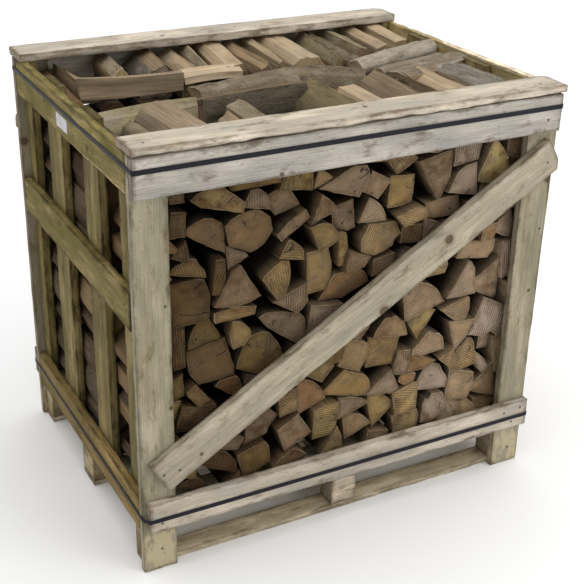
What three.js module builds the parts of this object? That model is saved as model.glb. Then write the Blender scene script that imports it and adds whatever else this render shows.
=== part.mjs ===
// A slatted timber crate on its own pallet, packed full of short split hardwood logs
// and held by two tight flat straps.  Units are millimetres, +Z is up, +X runs along
// the front, -Y is the front face, and the origin is the middle of the footprint.
import * as THREE from 'three';

// ---------------------------------------------------------------- driving sizes
const CRATE_WIDTH = 1150;        // along X, over the posts
const CRATE_DEPTH = 850;         // along Y, over the posts
const CRATE_HEIGHT = 1120;       // floor to the top of the caps
const BOARD = 22;                // thickness of every sawn board

const POST_WIDTH = 90;           // corner post, measured along X
const RAIL_HEIGHT = 95;          // top rails and middle rails
const LOW_RAIL_HEIGHT = 82;      // front and back bottom rail
const LOW_RAIL_BOTTOM = 130;     // underside of the front bottom rail
const LOW_RAIL_INSET = 12;       // the front bottom rail starts this far in from the post
const TOP_RAIL_SHORT = 10;       // the front top rail stops this far short of the post
const SIDE_LOW_RAIL_BOTTOM = 117;
const SIDE_MID_RAIL_BOTTOM = 668;
const SIDE_MID_RAIL_SLOT = 8;    // open slot between the middle rail and the front post
const RIGHT_RAIL_RISE = 12;      // the right top rail stands a little above its neighbours
const CAP_WIDTH = 95;            // the two boards laid flat on the top
const CAP_WANE = 18;             // missing corner of the back cap

const BRACE_WIDTH = 91;          // diagonal board across the front
const BRACE_START = [-557, 320]; // its upper edge, lower end, as X and Z
const BRACE_END = [540, 983];    // its upper edge, upper end

const SLAT_CENTRES = [-350, -110, 160, 376];  // Y of each upright side slat
const SLAT_WIDTHS = [106, 108, 110, 54];
const SLAT_BOTTOM = 117;

const RUNNER_THICKNESS = 16;
const BLOCK_WIDTH = 74;          // along X
const STRINGER_TOP = 117;
const EDGE_BLOCK_DEPTH = 62;     // along Y, for the front and the back row
const MIDDLE_BLOCK_DEPTH = 86;   // along Y, for the middle row
const MIDDLE_ROW_Y = 22;         // the middle row stands a little behind the centre
const DECK_BOARDS = 5;
const DECK_BOARD_WIDTH = 120;

const STRAP_WIDTH = 12;
const STRAP_THICKNESS = 1;
const STRAP_CLEAR = 0.3;         // slack between a strap and the wood
const STRAP_HEIGHTS = { strap_lower: 166, strap_upper: 1067 };

const LABEL_SIZE = [0.6, 80, 34];
const LABEL_CENTRE = [19, 1037]; // Y and Z, on the left top rail

const LOG_CLEAR = 0.4;           // slack between the wood stack and the boards

// ---------------------------------------------------------------- derived places
const halfWidth = CRATE_WIDTH / 2;
const halfDepth = CRATE_DEPTH / 2;
const innerY = halfDepth - BOARD;           // inner faces of the posts
const faceY = halfDepth + BOARD;            // outer faces of the front and back rails
const capBottom = CRATE_HEIGHT - BOARD;
const slatOuterX = halfWidth - BOARD;
const slatInnerX = slatOuterX - BOARD;
const deckTop = STRINGER_TOP + BOARD;

// ---------------------------------------------------------------- finishes
const finish = (color, roughness = 0.85) =>
  new THREE.MeshStandardMaterial({ color, roughness, metalness: 0 });
const paleBoard = () => finish(0xbdb29a);
const sideBoard = () => finish(0x98905f);
const palletBoard = () => finish(0xa39578);
const logWood = () => finish(0x96805f, 0.9);
const strapPlastic = () => finish(0x2b2b33, 0.45);
const labelPaper = () => finish(0xe6e6e2, 0.6);

// ---------------------------------------------------------------- helpers
const crate = new THREE.Group();

function addMesh(name, geometry, material, parent = crate) {
  const mesh = new THREE.Mesh(geometry, material);
  mesh.name = name;
  parent.add(mesh);
  return mesh;
}

// A sawn board from its lowest to its highest corner.
function board(name, low, high, material) {
  const size = high.map((value, axis) => value - low[axis]);
  const mesh = addMesh(name, new THREE.BoxGeometry(...size), material);
  mesh.position.set(...low.map((value, axis) => value + size[axis] / 2));
  return mesh;
}

// A closed outline pushed along +Z of its own frame.
function prism(points, depth) {
  const shape = new THREE.Shape(points.map(([u, v]) => new THREE.Vector2(u, v)));
  return new THREE.ExtrudeGeometry(shape, { depth, bevelEnabled: false });
}

// An outline drawn in Y (across) and Z (up), pushed along X from startX.
function prismAlongX(name, points, startX, length, material, parent = crate) {
  const mesh = addMesh(name, prism(points, length), material, parent);
  mesh.rotation.set(Math.PI / 2, 0, Math.PI / 2, 'ZYX');
  mesh.position.set(startX, 0, 0);
  return mesh;
}

// ---------------------------------------------------------------- front and back panels
// Two posts, two rails and a diagonal board, drawn as the front panel.  The back panel
// is the same one turned half round the vertical.
function endPanel(prefix, posts, turn) {
  const panel = new THREE.Group();
  panel.rotation.z = turn;
  crate.add(panel);
  const put = (name, low, high) => panel.add(board(name, low, high, paleBoard()));

  put(posts[0], [-halfWidth, -halfDepth, 0], [-halfWidth + POST_WIDTH, -innerY, capBottom]);
  put(posts[1], [halfWidth - POST_WIDTH, -halfDepth, 0], [halfWidth, -innerY, capBottom]);
  put(`${prefix}_top_rail`, [-halfWidth, -faceY, capBottom - RAIL_HEIGHT],
    [halfWidth - TOP_RAIL_SHORT, -halfDepth, capBottom]);
  put(`${prefix}_bottom_rail`, [-halfWidth + LOW_RAIL_INSET, -faceY, LOW_RAIL_BOTTOM],
    [halfWidth, -halfDepth, LOW_RAIL_BOTTOM + LOW_RAIL_HEIGHT]);

  const brace = addMesh(`${prefix}_brace`, prism(braceOutline(), BOARD), paleBoard(), panel);
  brace.rotation.x = Math.PI / 2;
  brace.position.y = -halfDepth;
}

// The diagonal board in X and Z: square ends, its low right corner sawn off flush
// with the edge of the post.
function braceOutline() {
  const [x0, z0] = BRACE_START;
  const [x1, z1] = BRACE_END;
  const length = Math.hypot(x1 - x0, z1 - z0);
  const [alongX, alongZ] = [(x1 - x0) / length, (z1 - z0) / length];
  const [downX, downZ] = [alongZ * BRACE_WIDTH, -alongX * BRACE_WIDTH];
  const endCut = (halfWidth - x1) / downX;
  const lowCut = (halfWidth - (x0 + downX)) / alongX;
  return [
    [x0, z0],
    [x0 + downX, z0 + downZ],
    [halfWidth, z0 + downZ + lowCut * alongZ],
    [halfWidth, z1 + endCut * downZ],
    [x1, z1],
  ];
}

// ---------------------------------------------------------------- side panels
// Three level rails outside, four upright slats nailed inside them.
function sidePanel(prefix, side) {
  const xRange = (outer, inner) => (side < 0 ? [-outer, -inner] : [inner, outer]);
  const [railX0, railX1] = xRange(halfWidth, slatOuterX);
  const rail = (name, low, height, front) => board(`${prefix}_${name}`,
    [railX0, front, low], [railX1, innerY, low + height], sideBoard());

  rail('bottom_rail', SIDE_LOW_RAIL_BOTTOM, RAIL_HEIGHT, -innerY);
  rail('middle_rail', SIDE_MID_RAIL_BOTTOM, RAIL_HEIGHT, -innerY + SIDE_MID_RAIL_SLOT);
  if (side < 0) {
    rail('top_rail', capBottom - RAIL_HEIGHT, RAIL_HEIGHT, -innerY);
  } else {
    const capEdge = faceY - CAP_WIDTH;
    const outline = [
      [-innerY, capBottom - RAIL_HEIGHT], [innerY, capBottom - RAIL_HEIGHT],
      [innerY, capBottom], [capEdge - 1, capBottom],
      [-capEdge + 1, capBottom + RIGHT_RAIL_RISE], [-capEdge + 1, capBottom],
      [-innerY, capBottom],
    ];
    prismAlongX(`${prefix}_top_rail`, outline, railX0, BOARD, sideBoard());
  }

  const [slatX0, slatX1] = xRange(slatOuterX, slatInnerX);
  SLAT_CENTRES.forEach((centre, index) => {
    const half = SLAT_WIDTHS[index] / 2;
    board(`${prefix}_slat_${index + 1}`,
      [slatX0, centre - half, SLAT_BOTTOM], [slatX1, centre + half, capBottom], sideBoard());
  });
}

// ---------------------------------------------------------------- caps
function caps() {
  board('cap_front', [-halfWidth, -faceY, capBottom],
    [halfWidth, -faceY + CAP_WIDTH, CRATE_HEIGHT], paleBoard());
  const outline = [
    [-halfWidth, faceY - CAP_WIDTH], [halfWidth, faceY - CAP_WIDTH],
    [halfWidth, faceY - CAP_WANE], [halfWidth - CAP_WANE, faceY], [-halfWidth, faceY],
  ];
  const back = addMesh('cap_back', prism(outline, BOARD), paleBoard());
  back.position.z = capBottom;
}

// ---------------------------------------------------------------- pallet base
function pallet() {
  const rows = [
    ['front', -innerY + EDGE_BLOCK_DEPTH / 2, EDGE_BLOCK_DEPTH],
    ['middle', MIDDLE_ROW_Y, MIDDLE_BLOCK_DEPTH],
    ['back', innerY - EDGE_BLOCK_DEPTH / 2, EDGE_BLOCK_DEPTH],
  ];
  const blockX = halfWidth - LOW_RAIL_INSET - BLOCK_WIDTH / 2;
  const columns = [['left', -blockX], ['middle', 8], ['right', blockX]];
  const blockTop = STRINGER_TOP - BOARD;

  for (const [row, y, depth] of rows) {
    board(`runner_${row}`, [-halfWidth + LOW_RAIL_INSET, y - depth / 2, 0],
      [halfWidth - LOW_RAIL_INSET, y + depth / 2, RUNNER_THICKNESS], palletBoard());
    for (const [column, x] of columns) {
      board(`block_${row}_${column}`,
        [x - BLOCK_WIDTH / 2, y - depth / 2, RUNNER_THICKNESS],
        [x + BLOCK_WIDTH / 2, y + depth / 2, blockTop], palletBoard());
    }
  }
  for (const [column, x] of columns) {
    board(`stringer_${column}`, [x - BLOCK_WIDTH / 2, -innerY, blockTop],
      [x + BLOCK_WIDTH / 2, innerY, STRINGER_TOP], palletBoard());
  }
  const firstY = -innerY + DECK_BOARD_WIDTH / 2 + LOG_CLEAR;
  const pitch = (2 * innerY - DECK_BOARD_WIDTH - 2 * LOG_CLEAR) / (DECK_BOARDS - 1);
  for (let index = 0; index < DECK_BOARDS; index += 1) {
    const y = firstY + index * pitch;
    board(`deck_board_${index + 1}`,
      [-slatInnerX + LOG_CLEAR, y - DECK_BOARD_WIDTH / 2, STRINGER_TOP],
      [slatInnerX - LOG_CLEAR, y + DECK_BOARD_WIDTH / 2, deckTop], palletBoard());
  }
}

// ---------------------------------------------------------------- straps and label
// Each strap is one closed band round the four faces of the crate.
function straps() {
  const ring = (offset) => {
    const x = halfWidth + offset;
    const y = faceY + offset;
    return [[-x, -y], [x, -y], [x, y], [-x, y]].map(([u, v]) => new THREE.Vector2(u, v));
  };
  for (const [name, height] of Object.entries(STRAP_HEIGHTS)) {
    const band = new THREE.Shape(ring(STRAP_CLEAR + STRAP_THICKNESS));
    band.holes.push(new THREE.Path(ring(STRAP_CLEAR).reverse()));
    const geometry = new THREE.ExtrudeGeometry(band, { depth: STRAP_WIDTH, bevelEnabled: false });
    addMesh(name, geometry, strapPlastic()).position.z = height - STRAP_WIDTH / 2;
  }
}

function label() {
  const mesh = addMesh('label', new THREE.BoxGeometry(...LABEL_SIZE), labelPaper());
  mesh.position.set(-halfWidth - LABEL_SIZE[0] / 2 - 0.1, ...LABEL_CENTRE);
}

// ---------------------------------------------------------------- the wood stack
// Three rows of upright-stacked logs, each row one solid that reaches the log tips,
// with the loose logs that lie across the middle row as solids of their own.
const STACK_X = slatInnerX - LOG_CLEAR;
const STACK_LOW = deckTop + LOG_CLEAR;
const STACK_HIGH = 1104;                    // tips of the logs between the two caps
const UNDER_CAP = capBottom - LOG_CLEAR;
const LOOSE_LOW = 1000;                     // the loose logs lie above this height

function stacks() {
  const outer = innerY - LOG_CLEAR;
  const capEdge = faceY - CAP_WIDTH - 4;
  const rows = {
    logs_front_row: [
      [-outer, STACK_LOW], [-155, STACK_LOW], [-155, LOOSE_LOW], [-170, LOOSE_LOW + 20],
      [-170, STACK_HIGH], [-capEdge, STACK_HIGH], [-capEdge, UNDER_CAP], [-outer, UNDER_CAP],
    ],
    logs_middle_row: [
      [-125, STACK_LOW], [135, STACK_LOW], [135, LOOSE_LOW], [-125, LOOSE_LOW],
    ],
    logs_back_row: [
      [outer, STACK_LOW], [outer, UNDER_CAP], [capEdge, UNDER_CAP], [capEdge, STACK_HIGH],
      [200, STACK_HIGH], [200, LOOSE_LOW + 20], [165, LOOSE_LOW], [165, STACK_LOW],
    ],
  };
  for (const [name, outline] of Object.entries(rows)) {
    prismAlongX(name, outline, -STACK_X, 2 * STACK_X, logWood());
  }
}

// Cross-sections of the loose logs, in Y and Z about their own middle.
const squared = (across, high) => [
  [-across / 2, -high / 2], [across / 2, -high / 2], [across / 2, high / 2], [-across / 2, high / 2],
];
const round = (radius, sides = 12) => Array.from({ length: sides }, (_, index) => {
  const angle = (index / sides) * Math.PI * 2;
  return [radius * Math.cos(angle), radius * Math.sin(angle)];
});
const halfRound = (radius, drop, sides = 10) => Array.from({ length: sides + 1 }, (_, index) => {
  const angle = (index / sides) * Math.PI;
  return [radius * Math.cos(angle), radius * Math.sin(angle) - drop];
});

// name, cross-section, length, middle of the log, turn about the vertical in degrees
const LOOSE_LOGS = [
  ['log_squared', squared(66, 60), 272, [-352, 130, 1073], -11],
  ['log_mossy_bark', halfRound(54, 22), 285, [-382, -66, 1026], 0],
  ['log_grey_bark', squared(46, 76), 286, [-92, -62, 1046], 4],
  ['log_brown_bark', round(38), 290, [-86, 32, 1056], 9],
  ['log_short', round(33), 222, [190, -8, 1058], -28],
  ['branch_pale', round(30), 282, [380, 74, 1075], 12],
  ['branch_gnarled', round(25), 200, [420, -4, 1066], 12],
  ['plank_split', squared(76, 24), 226, [408, -88, 1094], 13],
];

function looseLogs() {
  for (const [name, outline, length, centre, turn] of LOOSE_LOGS) {
    const place = new THREE.Group();
    place.position.set(...centre);
    place.rotation.z = THREE.MathUtils.degToRad(turn);
    crate.add(place);
    prismAlongX(name, outline, -length / 2, length, logWood(), place);
  }
}

endPanel('front', ['post_front_left', 'post_front_right'], 0);
endPanel('back', ['post_back_right', 'post_back_left'], Math.PI);
sidePanel('left', -1);
sidePanel('right', 1);
caps();
pallet();
straps();
label();
stacks();
looseLogs();

export default crate;
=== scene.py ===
# %% [markdown]
# # A crate of split firewood
# The object is a slatted timber crate on its own pallet base, full of short split logs and
# held by two flat straps.  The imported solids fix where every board, block and strap is.
# This script dresses them: each board is rebuilt as worn, sawn wood in exactly the same
# place, and the three solid rows of the stack become several hundred separate logs.

# %% Load the frame
import math

import bpy
import numpy as np
from mathutils import Matrix, Vector


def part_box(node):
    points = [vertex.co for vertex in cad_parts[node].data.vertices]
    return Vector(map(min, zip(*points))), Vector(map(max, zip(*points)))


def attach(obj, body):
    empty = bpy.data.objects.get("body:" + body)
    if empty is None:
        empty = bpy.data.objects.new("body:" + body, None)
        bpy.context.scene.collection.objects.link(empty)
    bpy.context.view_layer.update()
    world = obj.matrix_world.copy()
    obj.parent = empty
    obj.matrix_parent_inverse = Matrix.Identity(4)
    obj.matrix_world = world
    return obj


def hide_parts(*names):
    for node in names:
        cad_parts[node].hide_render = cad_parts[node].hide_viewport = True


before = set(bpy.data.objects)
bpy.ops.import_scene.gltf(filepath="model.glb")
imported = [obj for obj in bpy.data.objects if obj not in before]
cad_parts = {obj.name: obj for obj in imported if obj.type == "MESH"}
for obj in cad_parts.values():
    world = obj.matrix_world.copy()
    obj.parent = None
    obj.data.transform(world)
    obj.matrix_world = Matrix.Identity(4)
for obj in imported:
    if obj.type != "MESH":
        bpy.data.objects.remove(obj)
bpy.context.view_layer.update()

# %% [markdown]
# ## The camera first
# The camera stands to the left of the front and looks down on the crate, turned very
# slightly about its own axis.  It is described by the angles of a tripod head
# (azimuth, elevation, roll), a distance and a lens, and turned into a matrix by hand, so
# that the roll is applied about the line of sight and not about a world axis.

# %% Camera
CAMERA_AZIMUTH = math.radians(-28.56)
CAMERA_ELEVATION = math.radians(26.44)
CAMERA_ROLL = math.radians(1.41)
CAMERA_DISTANCE = 3.3608
CAMERA_TARGET = Vector((0.0544, 0.0, 0.4581))
CAMERA_LENS = 73.27
SENSOR = 36.0


def place_camera():
    back = Vector((
        math.sin(CAMERA_AZIMUTH) * math.cos(CAMERA_ELEVATION),
        -math.cos(CAMERA_AZIMUTH) * math.cos(CAMERA_ELEVATION),
        math.sin(CAMERA_ELEVATION),
    ))
    level_right = (-back).cross(Vector((0, 0, 1))).normalized()
    level_up = level_right.cross(-back)
    right = math.cos(CAMERA_ROLL) * level_right + math.sin(CAMERA_ROLL) * level_up
    up = back.cross(right)
    data = bpy.data.cameras.new("camera")
    data.lens = CAMERA_LENS
    data.sensor_width = SENSOR
    data.clip_end = 100
    camera = bpy.data.objects.new("camera", data)
    turn = Matrix((right, up, back)).transposed().to_4x4()
    camera.matrix_world = Matrix.Translation(CAMERA_TARGET + back * CAMERA_DISTANCE) @ turn
    bpy.context.scene.collection.objects.link(camera)
    bpy.context.scene.camera = camera
    return camera


camera = place_camera()
print("camera at", [round(c, 2) for c in camera.matrix_world.translation])

# %% [markdown]
# ## Floor and light
# The crate stands on a plain pale floor.  Weathered wood looks right in broad, soft light, so
# the sky does most of the work: it is bright overhead and falls off towards the horizon,
# which makes upright faces darker than the tops.  A wide, weak key stands in front and to
# the right, so that the left side is a step darker.

# %% Floor, sky and lamps
FLOOR_SIZE = 60.0
FLOOR_COLOUR = (0.93, 0.93, 0.93, 1.0)
HORIZON, ZENITH = 0.16, 2.1
# name, place, target, width and height of the lamp, power in watts
LAMPS = [
    ("key", (3.2, -5.0, 2.2), (0.1, -0.4, 0.45), (3.4, 2.4), 105.0),
]


def pale_floor():
    mesh = bpy.data.meshes.new("floor")
    half = FLOOR_SIZE / 2
    corners = [(-half, -half, 0), (half, -half, 0), (half, half, 0), (-half, half, 0)]
    mesh.from_pydata(corners, [], [(0, 1, 2, 3)])
    floor = bpy.data.objects.new("floor", mesh)
    bpy.context.scene.collection.objects.link(floor)
    finish = bpy.data.materials.new("pale_floor")
    finish.use_nodes = True
    surface = finish.node_tree.nodes["Principled BSDF"]
    surface.inputs["Base Color"].default_value = FLOOR_COLOUR
    surface.inputs["Roughness"].default_value = 0.9
    surface.inputs["Specular IOR Level"].default_value = 0.1
    mesh.materials.append(finish)


def studio_sky():
    """Brightness grows with the square of the height above the horizon."""
    world = bpy.data.worlds.new("studio")
    world.use_nodes = True
    tree = world.node_tree
    way = tree.nodes.new("ShaderNodeTexCoord")
    split = tree.nodes.new("ShaderNodeSeparateXYZ")
    tree.links.new(way.outputs["Generated"], split.inputs["Vector"])
    square = tree.nodes.new("ShaderNodeMath")
    square.operation = "POWER"
    square.use_clamp = True
    square.inputs[1].default_value = 2.0
    tree.links.new(split.outputs["Z"], square.inputs[0])
    glow = tree.nodes.new("ShaderNodeMapRange")
    glow.inputs["To Min"].default_value = HORIZON
    glow.inputs["To Max"].default_value = ZENITH
    tree.links.new(square.outputs[0], glow.inputs["Value"])
    sky = tree.nodes["Background"]
    sky.inputs["Color"].default_value = (1.0, 1.0, 1.0, 1.0)
    tree.links.new(glow.outputs["Result"], sky.inputs["Strength"])
    bpy.context.scene.world = world


def studio_lamps():
    for name, place, target, size, power in LAMPS:
        data = bpy.data.lights.new(name, "AREA")
        data.shape = "RECTANGLE"
        data.size, data.size_y = size
        data.energy = power
        lamp = bpy.data.objects.new(name, data)
        aim = (Vector(target) - Vector(place)).to_track_quat("-Z", "Y")
        lamp.matrix_world = Matrix.Translation(place) @ aim.to_matrix().to_4x4()
        bpy.context.scene.collection.objects.link(lamp)


pale_floor()
studio_sky()
studio_lamps()
bpy.context.scene.view_settings.view_transform = "Standard"
print("floor", FLOOR_SIZE, "m across, lamps", [row[0] for row in LAMPS])

# %% [markdown]
# ## Tools for the rest of the lesson
# Three small tools come back all the time: a smooth repeatable noise for shaping points, a
# function that adds a shader node and wires its inputs in one call, and a heap that
# gathers many little shapes into one mesh together with the facts that each point carries
# (its place in the wood, its tint), which the materials read as attributes.

# %% Repeatable noise
HASH_PRIMES = np.array([374761393, 668265263, 2147483647])
HASH_SEED = 144665
HASH_MIX = 1274126177


def hashed(cells, seed):
    """A repeatable number from 0 to 1 for each whole-numbered cell."""
    mixed = (cells * HASH_PRIMES).sum(axis=-1) + seed * HASH_SEED
    mixed = (mixed ^ (mixed >> 13)) * HASH_MIX
    return ((mixed ^ (mixed >> 16)) & 0xFFFFFF) / float(0xFFFFFF)


def noise(points, scale, seed=0):
    """Smooth noise from -1 to 1 at an array of points; scale is cells per metre, one number or three."""
    spot = np.asarray(points, float) * np.asarray(scale, float)
    base = np.floor(spot).astype(np.int64)
    part = spot - base
    part = part * part * (3 - 2 * part)
    total = np.zeros(spot.shape[:-1])
    for corner in np.ndindex(2, 2, 2):
        weight = np.ones(spot.shape[:-1])
        for axis in range(3):
            weight = weight * (part[..., axis] if corner[axis] else 1 - part[..., axis])
        total += weight * hashed(base + np.array(corner), seed)
    return total * 2 - 1


# %% Shader wiring
def shade(tree, kind, wires=None, **settings):
    """Adds a node, sets its settings, and fills its inputs with sockets or plain values."""
    node = tree.nodes.new(kind)
    for key, value in settings.items():
        setattr(node, key, value)
    for key, value in (wires or {}).items():
        if isinstance(value, bpy.types.NodeSocket):
            tree.links.new(value, node.inputs[key])
        else:
            node.inputs[key].default_value = value
    return node


def fact(tree, name):
    return shade(tree, "ShaderNodeAttribute", attribute_name=name).outputs["Vector"]


def parts(tree, vector):
    split = shade(tree, "ShaderNodeSeparateXYZ", {"Vector": vector})
    return split.outputs["X"], split.outputs["Y"], split.outputs["Z"]


def calc(tree, operation, first, second=0.0, third=0.0):
    wires = {0: first, 1: second, 2: third}
    return shade(tree, "ShaderNodeMath", wires, operation=operation).outputs[0]


def stretch(tree, vector, scale, offset=(0, 0, 0)):
    return shade(tree, "ShaderNodeMapping", {"Vector": vector, "Scale": scale, "Location": offset}).outputs[0]


def cloud(tree, vector, scale, detail=3.0, roughness=0.55, distortion=0.0):
    wires = {"Vector": vector, "Scale": scale, "Detail": detail, "Roughness": roughness,
             "Distortion": distortion}
    return shade(tree, "ShaderNodeTexNoise", wires).outputs["Fac"]


def ramp(tree, value, *stops):
    """A colour ramp; each stop is (position, colour or grey)."""
    node = shade(tree, "ShaderNodeValToRGB", {"Fac": value})
    band = node.color_ramp
    while len(band.elements) < len(stops):
        band.elements.new(0.5)
    for element, (position, colour) in zip(band.elements, stops):
        element.position = position
        element.color = (*colour, 1) if isinstance(colour, tuple) else (colour, colour, colour, 1)
    return node.outputs["Color"]


def remap(tree, value, low, high, to_low=0.0, to_high=1.0):
    wires = {"Value": value, "From Min": low, "From Max": high, "To Min": to_low, "To Max": to_high}
    return shade(tree, "ShaderNodeMapRange", wires).outputs["Result"]


def blend(tree, amount, first, second, mode="MIX"):
    node = shade(tree, "ShaderNodeMix", data_type="RGBA", blend_type=mode)
    for index, value in ((0, amount), (6, first), (7, second)):
        if isinstance(value, bpy.types.NodeSocket):
            tree.links.new(value, node.inputs[index])
        else:
            node.inputs[index].default_value = value if index == 0 else (*value, 1)
    return node.outputs[2]


def coat(tree, colour, mask, low, high, most, paint):
    """Lays paint over a colour: none where the mask is low, and the share most where it is high."""
    return blend(tree, remap(tree, mask, low, high, 0.0, most), colour, paint)


def new_finish(name, roughness, specular=0.25):
    finish = bpy.data.materials.new(name)
    finish.use_nodes = True
    tree = finish.node_tree
    surface = tree.nodes["Principled BSDF"]
    surface.inputs["Roughness"].default_value = roughness
    surface.inputs["Specular IOR Level"].default_value = specular
    return finish, tree, surface


def emboss(tree, surface, height, strength, distance):
    wires = {"Height": height, "Strength": strength, "Distance": distance}
    bump = shade(tree, "ShaderNodeBump", wires)
    tree.links.new(bump.outputs["Normal"], surface.inputs["Normal"])


# %% A heap that becomes one piece
class Heap:
    """Gathers shapes and turns them into one joined mesh object."""

    def __init__(self):
        self.points, self.faces, self.looks, self.facts, self.count = [], [], [], {}, 0

    def add(self, points, faces, looks=None, **facts):
        points = np.asarray(points, float)
        self.faces += [tuple(index + self.count for index in face) for face in faces]
        self.looks += list(looks) if looks is not None else [0] * len(faces)
        self.points.append(points)
        for name, values in facts.items():
            values = np.asarray(values, float)
            rows = np.broadcast_to(values, (len(points), 3)) if values.ndim == 1 else values
            self.facts.setdefault(name, []).append(rows)
        self.count += len(points)

    def build(self, name, finishes, smooth_angle=None):
        mesh = bpy.data.meshes.new(name)
        mesh.from_pydata(np.concatenate(self.points).tolist(), [], self.faces)
        for finish in finishes:
            mesh.materials.append(finish)
        mesh.polygons.foreach_set("material_index", self.looks)
        for fact_name, rows in self.facts.items():
            layer = mesh.attributes.new(fact_name, "FLOAT_VECTOR", "POINT")
            layer.data.foreach_set("vector", np.concatenate(rows).astype(np.float32).ravel())
        if smooth_angle is not None:
            mesh.shade_smooth()
            mesh.set_sharp_from_angle(angle=math.radians(smooth_angle))
        piece = bpy.data.objects.new(name, mesh)
        bpy.context.scene.collection.objects.link(piece)
        return piece


def settle(piece, slot, *nodes):
    """Fixes a finished piece to the frame: hides the CAD parts it takes the place of and hangs it from the
    root body.  slot is not used.
    """
    if nodes:
        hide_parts(*nodes)
    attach(piece, "root")


# %% [markdown]
# ## Sawn boards
# Every board of the crate left a saw mill with square edges and has been outdoors since:
# its corners are rubbed, its faces are not quite flat, and its end grain is dark.  A box
# with a bevel modifier would give every board the same perfect edge.  Instead each board
# is a grid over the six faces of its box, with an extra line just inside each edge.  The
# points are first pulled onto a rounded box, then moved a little by noise, so that the edge
# is tight in one place and chipped in another.  Each point keeps where it lies in the wood,
# measured from the heart of the tree, and how far it is from the nearest knot.

# %% A board as a grid over a box
EDGE_RADIUS = 0.0022
STEP_ALONG = 0.011
STEP_ACROSS = 0.0085


def spaced(length, step):
    """Grid lines from 0 to length, with one close to each end."""
    inner = max(1, round((length - 2 * EDGE_RADIUS) / step))
    lines = np.linspace(EDGE_RADIUS, length - EDGE_RADIUS, inner + 1)
    return np.concatenate([[0.0], lines, [length]])


def box_grid(size):
    """Points and outward quads over a box from 0 to size (along, across, thick), with shared points."""
    lines = [spaced(size[0], STEP_ALONG), spaced(size[1], STEP_ACROSS), spaced(size[2], STEP_ACROSS)]
    last = [len(line) - 1 for line in lines]
    number, points, faces = {}, [], []

    def corner(key):
        if key not in number:
            number[key] = len(points)
            points.append([lines[axis][key[axis]] for axis in range(3)])
        return number[key]

    for axis in range(3):
        first, second = (axis + 1) % 3, (axis + 2) % 3
        for end in (0, last[axis]):
            for i in range(last[first]):
                for j in range(last[second]):
                    ring = [(i, j), (i + 1, j), (i + 1, j + 1), (i, j + 1)]
                    quad = []
                    for a, b in ring if end else ring[::-1]:
                        key = [0, 0, 0]
                        key[axis], key[first], key[second] = end, a, b
                        quad.append(corner(tuple(key)))
                    faces.append(quad)
    return np.array(points), faces


def rub_edges(points, size, seed, wear):
    """Rounds the box's edges, by more where the noise says that the wood is chipped."""
    middle = np.array(size) / 2
    local = points - middle
    spot = points + seed * 3.7
    small, wide = noise(spot, (28, 60, 60), seed), noise(spot, (7, 30, 30), seed + 1)
    chip = np.clip(small * 0.6 + wide * 0.7 - 0.25, 0, 1)
    radius = EDGE_RADIUS * (0.55 + wear * 2.6 * chip)
    inner = np.maximum(middle - radius[:, None], 0)
    core = np.clip(local, -inner, inner)
    out = local - core
    length = np.linalg.norm(out, axis=1, keepdims=True)
    on_edge = (np.abs(out) > 1e-9).sum(axis=1, keepdims=True) >= 2
    rounded = core + out / np.maximum(length, 1e-9) * radius[:, None]
    return np.where(on_edge, rounded, local) + middle


# %% [markdown]
# ## One recipe for sawn wood
# Softwood boards show growth rings cut lengthways: long pale and dark lines that bend round
# knots.  An image could never fit fifty boards, so the material works from where each point
# lies in the tree.  The distance from the heart makes the rings, a noise stretched along the
# grain makes the fibres, and slow clouds make the grey weathering.  The same recipe dresses
# the panels, the green sides and the pallet, with other colours.

# %% Sawn wood finish
RING_WIDTH = 0.0052
RING_STRENGTH = 0.5


def knot_distance(tree, name, slack):
    """Distance to the nearest mark, safe on the line where two marks are equally near."""
    along, across, plain = parts(tree, fact(tree, name))
    flat = shade(tree, "ShaderNodeCombineXYZ", {0: along, 1: across}).outputs[0]
    exact = shade(tree, "ShaderNodeVectorMath", {0: flat}, operation="LENGTH").outputs["Value"]
    return calc(tree, "MAXIMUM", exact, calc(tree, "MULTIPLY", calc(tree, "SUBTRACT", plain, slack), 0.6))


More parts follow.
